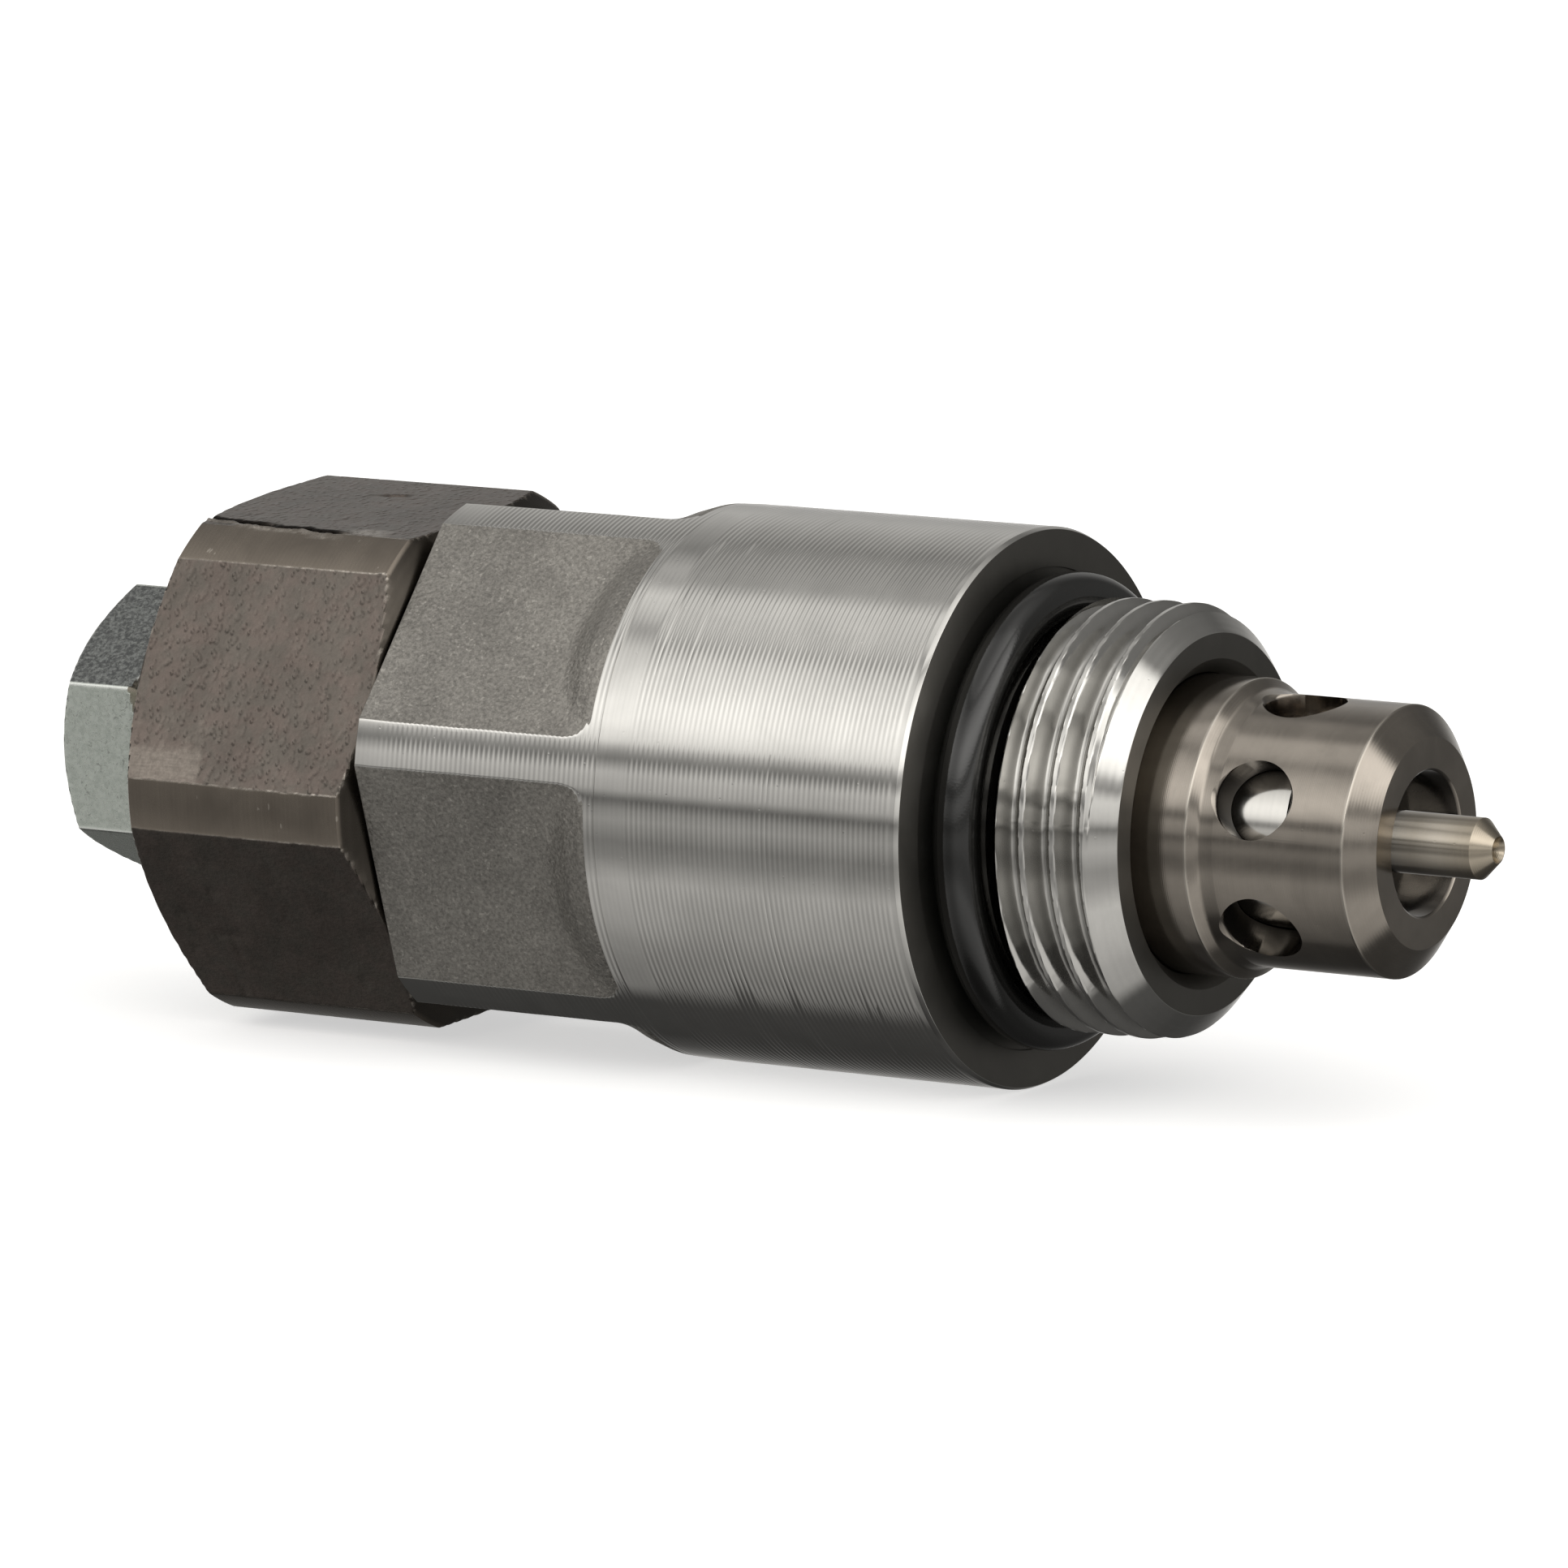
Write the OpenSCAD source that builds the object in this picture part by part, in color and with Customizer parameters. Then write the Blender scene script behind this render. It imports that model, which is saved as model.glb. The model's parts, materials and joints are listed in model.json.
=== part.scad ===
// Screw-in hydraulic cartridge valve: pilot-operated relief with a make-up sleeve.
// The valve axis is X, the nose points to +X, and x = 0 is the flange face that seats on the port.

/* [Body] */
// Diameter of the turned flange
flange_d = 35; // [35:0.1:35.4]
// Length of the turned flange, back from the seating face
flange_l = 21.7; // [20:0.1:22.2]
// Across-flats size of the forged body hex, nominally 32
body_hex_af = 31.6; // [31.4:0.1:32]
// Diameter to which the body hex corners are turned
body_corner_d = 34.9; // [34.5:0.1:35]
// Distance from the seating face to the rear of the body hex
body_l = 39.4; // [39:0.1:39.6]

/* [Port thread] */
// Major diameter of the port thread
thread_d = 27; // [26.4:0.1:27]
// Diameter of the neck that holds the flange ring
neck_d = 23.9; // [23.6:0.1:24.2]
// Length of the neck
neck_l = 4.6; // [4.4:0.1:5]
// Distance from the seating face to the start of the lead chamfer
thread_end_x = 10.6; // [10.2:0.1:10.8]
// Distance from the seating face to the front of the body
body_front_x = 12.1; // [12:0.1:12.4]

/* [Sleeve] */
// Guide diameter of the sleeve
sleeve_d = 18.5; // [18.3:0.1:18.5]
// Nose diameter of the sleeve
nose_d = 16.8; // [16.6:0.1:17]
// Distance from the seating face to the front of the sleeve
nose_x = 27; // [26.8:0.1:27.4]
// Inlet bore of the sleeve
inlet_d = 8.9; // [8.7:0.1:9]
// Number of cross holes in the sleeve
port_count = 6; // [4:1:6]
// Diameter of each cross hole
port_d = 5; // [4:0.1:5.4]
// Distance from the seating face to the cross holes
port_x = 19.2; // [19:0.1:19.6]

/* [Main stage] */
// Diameter of the main poppet
poppet_d = 12.5; // [12.3:0.1:12.5]
// Diameter of the piston pin that stands out of the nose
pin_d = 3.8; // [3.4:0.1:4]
// Distance from the seating face to the tip of the piston pin
pin_x = 31.9; // [31:0.1:33]

/* [Adjuster] */
// Across-flats size of the plug hex, nominally 32
plug_hex_af = 31.8; // [31.4:0.1:32]
// Length of the plug hex
plug_hex_l = 17.7; // [17:0.1:18]
// Diameter to which the plug hex corners are turned
plug_corner_d = 35; // [34.7:0.1:35.4]
// Diameter of the adjusting screw
screw_d = 10; // [9.9:0.1:10]
// Across-flats size of the lock nut, nominally 17
nut_af = 16.6; // [16.5:0.1:17]
// Thickness of the lock nut
nut_l = 6.4; // [5.5:0.1:6.5]

/* [Hidden] */
$fn = 96;

// Turn of each hex and of the cross holes about the axis, from -Y towards +Z
body_hex_turn = 11;
plug_hex_turn = -6;
nut_turn = 24.5;
port_turn = 22;

running = 0.05;          // radial clearance of a sliding or turning fit
touch = 0.02;            // gap between a seal and the wall it seals on
cut = 1;                 // how far a cutting shape runs past the surface it opens
edge = 0.5;              // chamfer on a plain turned edge

// Valve body
hex_root_x = -2.3;       // the hex starts inside the flange, here
blend_x = -26.4;         // where the hex blend leaves the flats
blend_r = 15.6;
ring_seat_r = 15;        // shallow recess in the flange face that the flange ring beds on
ring_seat_l = 0.2;
front_face_r = 11.8;     // rim of the body's front face
bore_r = sleeve_d / 2 + running;
bore_mouth_r = 10.2;
bore_end_x = -10;        // lip that carries the sleeve spring
lip_r = 6.8;
lip_l = 1.5;
seat_bore_r = 8.2;
seat_bore_end_x = -19;
chamber_r = 9.5;
chamber_end_x = -29;
plug_thread_r = 12.5;

// Sleeve and its rings
ring_x = 6.8;            // rear face of the retaining ring
ring_w = 1.2;
ring_groove_r = 9.9;
ring_inner_r = 8.6;
sleeve_rear_x = -6.5;
sleeve_travel = 2.5;
sleeve_step_x = 15.3;    // guide land ends here
sleeve_cone_x = 16.3;    // nose land starts here
nose_chamfer_x = 25.6;
nose_face_r = 6.5;
sleeve_bore_r = poppet_d / 2 + running;
seat_x = 22.3;           // main seat inside the sleeve
port_cut_r = 5.6;
port_chamfer = 0.3;      // break on the outer edge of each cross hole
spring_pocket_r = 8.5;
spring_pocket_x = 0.5;
seal_groove_r = 7.6;
seal_groove_x = 2.3;
seal_groove_w = 3.3;
seal_r = (bore_r - touch - seal_groove_r) / 2;
backup_w = 1.2;

// Main poppet, piston and their springs
poppet_rear_x = -1.5;
poppet_pocket_r = 5;
poppet_pocket_x = 8.5;
poppet_land_x = 20.5;    // the full diameter ends here, and the sealing cone starts
poppet_front_x = 22.9;
poppet_front_r = 3.65;
shank_r = 1;
pin_bore_x = 20.6;       // floor of the bore in the poppet's front that the pin runs in
pin_shoulder_x = 22.3;
pin_tip_r = 0.85;
piston_rear_x = -1;
collar_r = 2.6;
collar_w = 1.2;
orifice_r = 0.5;

// Pilot stage
seat_front_x = bore_end_x - lip_l;
seat_rear_x = -18.5;
pilot_hole_r = 1.25;
pilot_cone_tip_x = -17;
pilot_cone_tip_r = 0.3;
pilot_cone_slope = 0.577;
pilot_cone_base_r = 3;
pilot_cone_base_x = pilot_cone_tip_x - (pilot_cone_base_r - pilot_cone_tip_r) / pilot_cone_slope;
pilot_disc_w = 2.2;
pilot_disc_r = 5.6;
pilot_stem_r = 2;
pilot_stem_x = -30;
seat_groove_r = 6.8;
seat_groove_x = -16.6;
seat_groove_w = 3;
seat_seal_r = (seat_bore_r - touch - seat_groove_r) / 2;
jet_r = 1.7;
jet_l = 3;

// Adjuster
plug_front_x = -body_l - 0.2;
plug_rear_x = plug_front_x - plug_hex_l;
plug_chamfer_l = 1;      // hex corners start this far from each end
plug_chamfer_h = 1.9;
boss_r = 8;              // boss that the lock nut's seal sits on
boss_l = 2.5;
cavity_r = 6.2;
cavity_end_x = -50.5;
plug_groove_x = -26;
plug_groove_w = 2.4;
plug_groove_r = 7.7;
plug_seal_r = (chamber_r - touch - plug_groove_r) / 2;
seat_disc_x = -44;
seat_disc_l = 4;
seat_spigot_r = 2.8;
disc_groove_r = 4.6;
disc_groove_w = 1.8;
disc_seal_r = (cavity_r - touch - disc_groove_r) / 2;
shim_w = 0.8;
screw_rear_x = plug_rear_x - boss_l - 8.9;
screw_socket_af = 5;
screw_socket_l = 5;
washer_w = 1.4;
washer_r = 8.2;
nut_front_x = plug_rear_x - boss_l - 0.1 - washer_w;

// Points round a coil's wire section, and sections in each turn of a coil
wire_points = 8;
turn_sections = 16;

// Places children, drawn along +Z, along the valve axis with their +X turned from -Y towards +Z
module on_axis(turn = 0) {
    rotate([0, 90, 0])
        rotate([0, 0, -90 - turn])
            children();
}

// Turned shape from [radius, x] points
module turned(profile) {
    on_axis()
        rotate_extrude()
            polygon(profile);
}

// Straight cylinder from x1 to x2
module rod(r, x1, x2) {
    translate([x1, 0, 0])
        on_axis()
            cylinder(r = r, h = x2 - x1);
}

// Hollow ring of rectangular section
module band(r_out, r_in, x1, x2) {
    difference() {
        rod(r_out, x1, x2);
        rod(r_in, x1 - cut, x2 + cut);
    }
}

// Hex bar from x1 to x2 with a corner at the given turn
module hex_bar(af, turn, x1, x2) {
    translate([x1, 0, 0])
        on_axis(turn)
            cylinder(d = af / cos(30), h = x2 - x1, $fn = 6);
}

// Round-section ring on the valve axis
module o_ring(mean_r, section_r, x) {
    translate([x, 0, 0])
        on_axis()
            rotate_extrude()
                translate([mean_r, 0])
                    circle(r = section_r);
}

// Axial place of a coil at turn t: the first and last turns close up, the rest share the gap
function coil_x(t, turns, wire_r, length) =
    let (pitch = (length - 4 * wire_r * 1.02) / (turns - 2))
    let (closed = 2 * wire_r * 1.02)
    t < 1 ? t * closed
        : t > turns - 1 ? length - (turns - t) * closed
        : closed + (t - 1) * pitch;

// Coil spring from x to x + length, closed at both ends
module coil(mean_r, wire_r, turns, x, length) {
    sections = turns * turn_sections;
    span = length - 2 * wire_r;
    points = [
        for (i = [0 : sections])
            let (t = i / turn_sections)
            let (a = 360 * t)
            let (along = x + wire_r + coil_x(t, turns, wire_r, span))
            for (k = [0 : wire_points - 1])
                let (b = 360 * k / wire_points)
                let (r = mean_r + wire_r * cos(b))
                [along + wire_r * sin(b), r * cos(a), r * sin(a)]
    ];
    sides = [
        for (i = [0 : sections - 1])
            for (k = [0 : wire_points - 1])
                let (a = i * wire_points + k)
                let (b = i * wire_points + (k + 1) % wire_points)
                for (face = [
                    [a, a + wire_points, b],
                    [b, a + wire_points, b + wire_points]
                ])
                    face
    ];
    start_cap = [[for (k = [0 : wire_points - 1]) k]];
    last = sections * wire_points;
    end_cap = [[for (k = [wire_points - 1 : -1 : 0]) last + k]];
    polyhedron(points = points, faces = concat(sides, start_cap, end_cap), convexity = 8);
}

module valve_body() {
    hex_rear_x = -body_l;
    corner_r = body_corner_d / 2;
    flange_r = flange_d / 2;
    color([0.62, 0.61, 0.59])
        difference() {
            union() {
                // Flange, neck and port thread at its major diameter
                turned([
                    [0, -flange_l], [flange_r, -flange_l],
                    [flange_r, -edge], [flange_r - edge, 0],
                    [ring_seat_r, 0], [ring_seat_r, -ring_seat_l],
                    [neck_d / 2, -ring_seat_l], [neck_d / 2, neck_l - (thread_d - neck_d) / 2],
                    [thread_d / 2, neck_l], [thread_d / 2, thread_end_x],
                    [front_face_r, body_front_x], [0, body_front_x]
                ]);
                // Hex with turned corners
                intersection() {
                    hex_bar(body_hex_af, body_hex_turn, hex_rear_x, hex_root_x);
                    turned([
                        [0, hex_rear_x], [corner_r - edge, hex_rear_x],
                        [corner_r, hex_rear_x + edge], [corner_r, hex_root_x], [0, hex_root_x]
                    ]);
                }
                // Blend from the flats up to the flange
                turned([
                    [0, blend_x], [blend_r, blend_x],
                    [flange_r - 0.45, -flange_l - 2.4], [flange_r - 0.1, -flange_l - 1.2],
                    [flange_r, -flange_l], [0, -flange_l]
                ]);
            }
            // Sleeve bore with its open mouth and retaining-ring groove
            turned([
                [0, bore_end_x], [bore_r, bore_end_x],
                [bore_r, ring_x - running], [ring_groove_r, ring_x - running],
                [ring_groove_r, ring_x + ring_w + running], [bore_r, ring_x + ring_w + running],
                [bore_r, body_front_x + bore_r - bore_mouth_r], [bore_mouth_r, body_front_x],
                [bore_mouth_r, body_front_x + cut], [0, body_front_x + cut]
            ]);
            // Pilot seat bore, spring chamber and plug thread
            turned([
                [0, bore_end_x + cut], [lip_r, bore_end_x + cut],
                [lip_r, seat_front_x], [seat_bore_r, seat_front_x],
                [seat_bore_r, seat_bore_end_x], [chamber_r, seat_bore_end_x],
                [chamber_r, chamber_end_x], [plug_thread_r, chamber_end_x - 1],
                [plug_thread_r, hex_rear_x - cut], [0, hex_rear_x - cut]
            ]);
        }
}

module flange_o_ring() {
    section_r = 1.45;
    color([0.05, 0.05, 0.05])
        o_ring(neck_d / 2 + touch + section_r, section_r, section_r + 0.3);
}

module sleeve_retaining_ring() {
    gap_w = 3;
    color([0.35, 0.34, 0.33])
        difference() {
            band(ring_groove_r - running, ring_inner_r, ring_x, ring_x + ring_w);
            translate([ring_x - cut, -gap_w / 2, 0])
                cube([ring_w + 2 * cut, gap_w, ring_groove_r + cut]);
        }
}

// Cross hole along +Z, with its outer edge broken where it meets a land of radius land_r
module port_cutter(land_r) {
    translate([0, 0, port_cut_r])
        cylinder(d = port_d, h = sleeve_d);
    translate([0, 0, land_r - port_chamfer])
        cylinder(r1 = port_d / 2, r2 = port_d / 2 + port_chamfer + cut, h = port_chamfer + cut);
}

module sleeve() {
    guide_r = sleeve_d / 2;
    nose_r = nose_d / 2;
    ring_slot_r = ring_inner_r - 0.1;
    ring_slot_end_x = ring_x + ring_w + sleeve_travel + 0.1;
    seal_end_x = seal_groove_x + seal_groove_w;
    color([0.47, 0.43, 0.39])
        difference() {
            turned([
                [0, sleeve_rear_x], [guide_r - edge, sleeve_rear_x],
                [guide_r, sleeve_rear_x + edge], [guide_r, seal_groove_x],
                [seal_groove_r, seal_groove_x], [seal_groove_r, seal_end_x],
                [guide_r, seal_end_x], [guide_r, ring_x - running],
                [ring_slot_r, ring_x - running], [ring_slot_r, ring_slot_end_x],
                [guide_r, ring_slot_end_x], [guide_r, sleeve_step_x],
                [nose_r, sleeve_cone_x], [nose_r, nose_chamfer_x],
                [nose_face_r, nose_x], [0, nose_x]
            ]);
            // Spring pocket, poppet bore, main seat and inlet
            turned([
                [0, sleeve_rear_x - cut], [spring_pocket_r, sleeve_rear_x - cut],
                [spring_pocket_r, spring_pocket_x], [sleeve_bore_r, spring_pocket_x],
                [sleeve_bore_r, seat_x], [inlet_d / 2, seat_x],
                [inlet_d / 2, nose_x - 0.3], [inlet_d / 2 + 0.3, nose_x],
                [inlet_d / 2 + 0.3, nose_x + cut], [0, nose_x + cut]
            ]);
            // Each cross hole starts just inside the poppet bore, so that the cuts stay apart
            for (i = [0 : port_count - 1])
                translate([port_x, 0, 0])
                    rotate([-port_turn - i * 360 / port_count, 0, 0])
                        rotate([90, 0, 0])
                            port_cutter(nose_r);
        }
}

module sleeve_o_ring() {
    color([0.05, 0.05, 0.05])
        o_ring(seal_groove_r + seal_r + touch / 2, seal_r - touch / 2, seal_groove_x + seal_r + touch);
}

module sleeve_backup_ring() {
    rear_x = seal_groove_x + seal_groove_w - touch - backup_w;
    color([0.9, 0.89, 0.85])
        band(bore_r - touch, seal_groove_r + touch, rear_x, rear_x + backup_w);
}

module sleeve_spring() {
    color([0.55, 0.55, 0.56])
        coil(7.8, 0.55, 5, bore_end_x + touch, spring_pocket_x - bore_end_x - 2 * touch);
}

module main_poppet() {
    land_r = poppet_d / 2;
    color([0.66, 0.65, 0.63])
        difference() {
            turned([
                [0, poppet_rear_x], [land_r - edge, poppet_rear_x],
                [land_r, poppet_rear_x + edge], [land_r, poppet_land_x],
                [poppet_front_r, poppet_front_x], [0, poppet_front_x]
            ]);
            rod(poppet_pocket_r, poppet_rear_x - cut, poppet_pocket_x);
            rod(shank_r + running, poppet_rear_x, poppet_front_x + cut);
            rod(pin_d / 2 + running, pin_bore_x, poppet_front_x + cut);
        }
}

module poppet_spring() {
    color([0.55, 0.55, 0.56])
        coil(4.2, 0.5, 8, seat_front_x + touch, poppet_pocket_x - seat_front_x - 2 * touch);
}

module piston() {
    pin_r = pin_d / 2;
    clip_x = poppet_pocket_x - touch - collar_w;
    clip_r = shank_r - 0.2;
    color([0.78, 0.77, 0.75])
        difference() {
            turned([
                [0, piston_rear_x], [shank_r, piston_rear_x],
                [shank_r, clip_x - running], [clip_r, clip_x - running],
                [clip_r, clip_x + collar_w + running / 2], [shank_r, clip_x + collar_w + running / 2],
                [shank_r, pin_shoulder_x], [pin_r, pin_shoulder_x + 0.4],
                [pin_r, pin_x - (pin_r - pin_tip_r)], [pin_tip_r, pin_x], [0, pin_x]
            ]);
            rod(orifice_r, piston_rear_x - cut, pin_x + cut);
        }
}

module piston_collar() {
    clip_x = poppet_pocket_x - touch - collar_w;
    slot_w = 1.2;
    color([0.35, 0.34, 0.33])
        difference() {
            band(collar_r, shank_r - 0.2 + touch, clip_x, clip_x + collar_w - touch);
            translate([clip_x - cut, -slot_w / 2, 0])
                cube([collar_w + 2 * cut, slot_w, collar_r + cut]);
        }
}

module piston_spring() {
    rear_x = seat_front_x + touch;
    color([0.55, 0.55, 0.56])
        coil(2.3, 0.25, 10, rear_x, poppet_pocket_x - 2 * touch - collar_w - rear_x);
}

module pilot_seat() {
    outer_r = seat_bore_r - running;
    groove_end_x = seat_groove_x + seat_groove_w;
    color([0.6, 0.59, 0.57])
        difference() {
            turned([
                [0, seat_rear_x], [outer_r, seat_rear_x],
                [outer_r, seat_groove_x], [seat_groove_r, seat_groove_x],
                [seat_groove_r, groove_end_x], [outer_r, groove_end_x],
                [outer_r, seat_front_x - touch - edge], [outer_r - edge, seat_front_x - touch],
                [0, seat_front_x - touch]
            ]);
            rod(pilot_hole_r, seat_rear_x - cut, seat_front_x + cut);
            rod(jet_r + touch, seat_front_x - jet_l, seat_front_x + cut);
        }
}

module pilot_seat_o_ring() {
    color([0.05, 0.05, 0.05])
        o_ring(seat_groove_r + seat_seal_r + touch / 2, seat_seal_r - touch / 2,
            seat_groove_x + seat_groove_w - seat_seal_r - touch);
}

module pilot_seat_backup_ring() {
    color([0.9, 0.89, 0.85])
        band(seat_bore_r - touch, seat_groove_r + touch, seat_groove_x + touch, seat_groove_x + backup_w);
}

module pilot_jet() {
    color([0.72, 0.6, 0.32])
        band(jet_r, orifice_r, seat_front_x - jet_l + touch, seat_front_x - 2 * touch);
}

module pilot_poppet() {
    disc_x = pilot_cone_base_x - pilot_disc_w;
    color([0.7, 0.69, 0.67])
        turned([
            [0, pilot_stem_x], [pilot_stem_r, pilot_stem_x],
            [pilot_stem_r, disc_x], [pilot_disc_r, disc_x],
            [pilot_disc_r, pilot_cone_base_x], [pilot_cone_base_r, pilot_cone_base_x],
            [pilot_cone_tip_r, pilot_cone_tip_x], [0, pilot_cone_tip_x]
        ]);
}

module pilot_spring() {
    front_x = pilot_cone_base_x - pilot_disc_w - touch;
    rear_x = seat_disc_x + shim_w + 2 * touch;
    color([0.5, 0.5, 0.51])
        coil(4.4, 0.95, 7, rear_x, front_x - rear_x);
}

module spring_shim() {
    color([0.7, 0.69, 0.66])
        band(cavity_r - 0.4, seat_spigot_r + 0.1, seat_disc_x + touch, seat_disc_x + shim_w + touch);
}

module spring_seat() {
    disc_r = cavity_r - running;
    rear_x = seat_disc_x - seat_disc_l;
    groove_x = rear_x + 1.1;
    color([0.6, 0.59, 0.57])
        turned([
            [0, rear_x], [disc_r - edge, rear_x],
            [disc_r, rear_x + edge], [disc_r, groove_x],
            [disc_groove_r, groove_x], [disc_groove_r, groove_x + disc_groove_w],
            [disc_r, groove_x + disc_groove_w], [disc_r, seat_disc_x],
            [seat_spigot_r, seat_disc_x], [seat_spigot_r, seat_disc_x + 3],
            [seat_spigot_r - edge, seat_disc_x + 3 + edge], [0, seat_disc_x + 3 + edge]
        ]);
}

module spring_seat_o_ring() {
    groove_x = seat_disc_x - seat_disc_l + 1.1;
    color([0.05, 0.05, 0.05])
        o_ring(disc_groove_r + disc_seal_r + touch / 2, disc_seal_r - touch / 2,
            groove_x + disc_groove_w / 2);
}

module adjuster_plug() {
    corner_r = plug_corner_d / 2;
    nose_r = chamber_r - running;
    shank_r = plug_thread_r - running;
    groove_end_x = plug_groove_x + plug_groove_w;
    color([0.42, 0.38, 0.34])
        difference() {
            union() {
                turned([
                    [0, plug_front_x - cut], [shank_r, plug_front_x - cut],
                    [shank_r, chamber_end_x - 2.5], [nose_r, chamber_end_x - 1],
                    [nose_r, plug_groove_x], [plug_groove_r, plug_groove_x],
                    [plug_groove_r, groove_end_x], [nose_r, groove_end_x],
                    [nose_r, seat_bore_end_x - 1], [seat_bore_r - running, seat_bore_end_x - 0.2],
                    [seat_bore_r - running, seat_rear_x - touch], [0, seat_rear_x - touch]
                ]);
                intersection() {
                    hex_bar(plug_hex_af, plug_hex_turn, plug_rear_x, plug_front_x);
                    turned([
                        [0, plug_rear_x], [corner_r - plug_chamfer_h, plug_rear_x],
                        [corner_r, plug_rear_x + plug_chamfer_l], [corner_r, plug_front_x - plug_chamfer_l],
                        [corner_r - plug_chamfer_h, plug_front_x], [0, plug_front_x]
                    ]);
                }
                rod(boss_r, plug_rear_x - boss_l, plug_rear_x + cut);
            }
            rod(cavity_r, cavity_end_x, seat_rear_x + cut);
            rod(screw_d / 2 + running, plug_rear_x - boss_l - cut, cavity_end_x + cut);
        }
}

module plug_o_ring() {
    color([0.05, 0.05, 0.05])
        o_ring(plug_groove_r + plug_seal_r + touch / 2, plug_seal_r - touch / 2,
            plug_groove_x + plug_groove_w / 2);
}

module adjusting_screw() {
    front_x = seat_disc_x - seat_disc_l - touch;
    color([0.3, 0.3, 0.31])
        difference() {
            turned([
                [0, screw_rear_x], [screw_d / 2 - edge, screw_rear_x],
                [screw_d / 2, screw_rear_x + edge], [screw_d / 2, front_x - 1],
                [screw_d / 2 - 1, front_x], [0, front_x]
            ]);
            hex_bar(screw_socket_af, 0, screw_rear_x - cut, screw_rear_x + screw_socket_l);
        }
}

module lock_nut_seal() {
    color([0.62, 0.63, 0.6])
        band(washer_r, screw_d / 2 + running, nut_front_x + touch, nut_front_x + washer_w);
}

module lock_nut() {
    corner_r = nut_af / 2 / cos(30);
    nut_rear_x = nut_front_x - nut_l;
    chamfer_r = nut_af / 2 - 0.4;
    chamfer_l = (corner_r - chamfer_r) * tan(30);
    color([0.64, 0.66, 0.62])
        difference() {
            intersection() {
                hex_bar(nut_af, nut_turn, nut_rear_x, nut_front_x);
                turned([
                    [0, nut_rear_x], [chamfer_r, nut_rear_x],
                    [corner_r, nut_rear_x + chamfer_l], [corner_r, nut_front_x - chamfer_l],
                    [chamfer_r, nut_front_x], [0, nut_front_x]
                ]);
            }
            rod(screw_d / 2 + running, nut_rear_x - cut, nut_front_x + cut);
        }
}

valve_body();
flange_o_ring();
sleeve_retaining_ring();
sleeve();
sleeve_o_ring();
sleeve_backup_ring();
sleeve_spring();
main_poppet();
poppet_spring();
piston();
piston_collar();
piston_spring();
pilot_seat();
pilot_seat_o_ring();
pilot_seat_backup_ring();
pilot_jet();
pilot_poppet();
pilot_spring();
spring_shim();
spring_seat();
spring_seat_o_ring();
adjuster_plug();
plug_o_ring();
adjusting_screw();
lock_nut_seal();
lock_nut();
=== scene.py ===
import json
import math

import bmesh
import bpy
import numpy as np
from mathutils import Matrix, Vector

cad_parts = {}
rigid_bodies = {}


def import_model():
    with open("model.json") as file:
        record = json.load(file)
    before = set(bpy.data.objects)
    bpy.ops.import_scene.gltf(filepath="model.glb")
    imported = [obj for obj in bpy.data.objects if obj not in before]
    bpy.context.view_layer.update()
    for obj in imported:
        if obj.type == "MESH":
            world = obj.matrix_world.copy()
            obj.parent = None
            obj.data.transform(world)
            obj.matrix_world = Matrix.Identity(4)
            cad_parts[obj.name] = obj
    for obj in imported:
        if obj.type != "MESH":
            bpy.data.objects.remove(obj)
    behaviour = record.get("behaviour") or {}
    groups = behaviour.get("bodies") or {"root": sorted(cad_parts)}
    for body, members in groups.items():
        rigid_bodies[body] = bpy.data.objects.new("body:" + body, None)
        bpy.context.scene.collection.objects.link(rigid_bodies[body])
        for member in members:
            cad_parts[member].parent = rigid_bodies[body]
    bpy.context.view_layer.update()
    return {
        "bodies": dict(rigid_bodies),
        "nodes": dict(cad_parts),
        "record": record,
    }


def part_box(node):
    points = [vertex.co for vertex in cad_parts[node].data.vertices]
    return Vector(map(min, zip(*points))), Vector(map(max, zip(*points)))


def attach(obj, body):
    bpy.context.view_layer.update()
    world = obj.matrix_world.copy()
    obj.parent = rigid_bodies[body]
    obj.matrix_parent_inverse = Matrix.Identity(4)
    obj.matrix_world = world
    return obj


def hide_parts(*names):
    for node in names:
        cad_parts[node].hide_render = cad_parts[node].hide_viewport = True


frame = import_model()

# The valve axis is X, its nose points to +X, and x = 0 is the flange face. Lengths below are in mm
# until to_mesh() turns them into metres. Angles turn about X from -Y towards +Z, in degrees.
MM = 0.001
rng = np.random.default_rng(7)


def mm_box(node):
    lo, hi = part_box(node)
    return np.array(lo) / MM, np.array(hi) / MM


# ---------------------------------------------------------------- sizes read from the frame
BODY_LO, BODY_HI = mm_box("valve_body")
BODY_REAR, BODY_FRONT = BODY_LO[0], BODY_HI[0]
FLANGE_R = BODY_HI[1]
PLUG_REAR = mm_box("adjuster_plug")[0][0]
NUT_LO, NUT_HI = mm_box("lock_nut")
SEAL_LO, SEAL_HI = mm_box("lock_nut_seal")
SLEEVE_LO, SLEEVE_HI = mm_box("sleeve")
POPPET_LO, POPPET_HI = mm_box("main_poppet")
PISTON_LO, PISTON_HI = mm_box("piston")
SCREW_LO, SCREW_HI = mm_box("adjusting_screw")

# ---------------------------------------------------------------- sizes shared by the pieces
# How far each hex and the cross holes are turned about X
BODY_TURN, PLUG_TURN, NUT_TURN, PORT_TURN = 11.0, -6.0, 24.5, 22.0
# Half the width across flats, and the radius of the turned strips that cut off the corners
BODY_APOTHEM, BODY_STRIP_R = 15.8, 17.45
PLUG_APOTHEM, PLUG_STRIP_R = 15.9, 17.5
NUT_APOTHEM = 8.3
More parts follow.
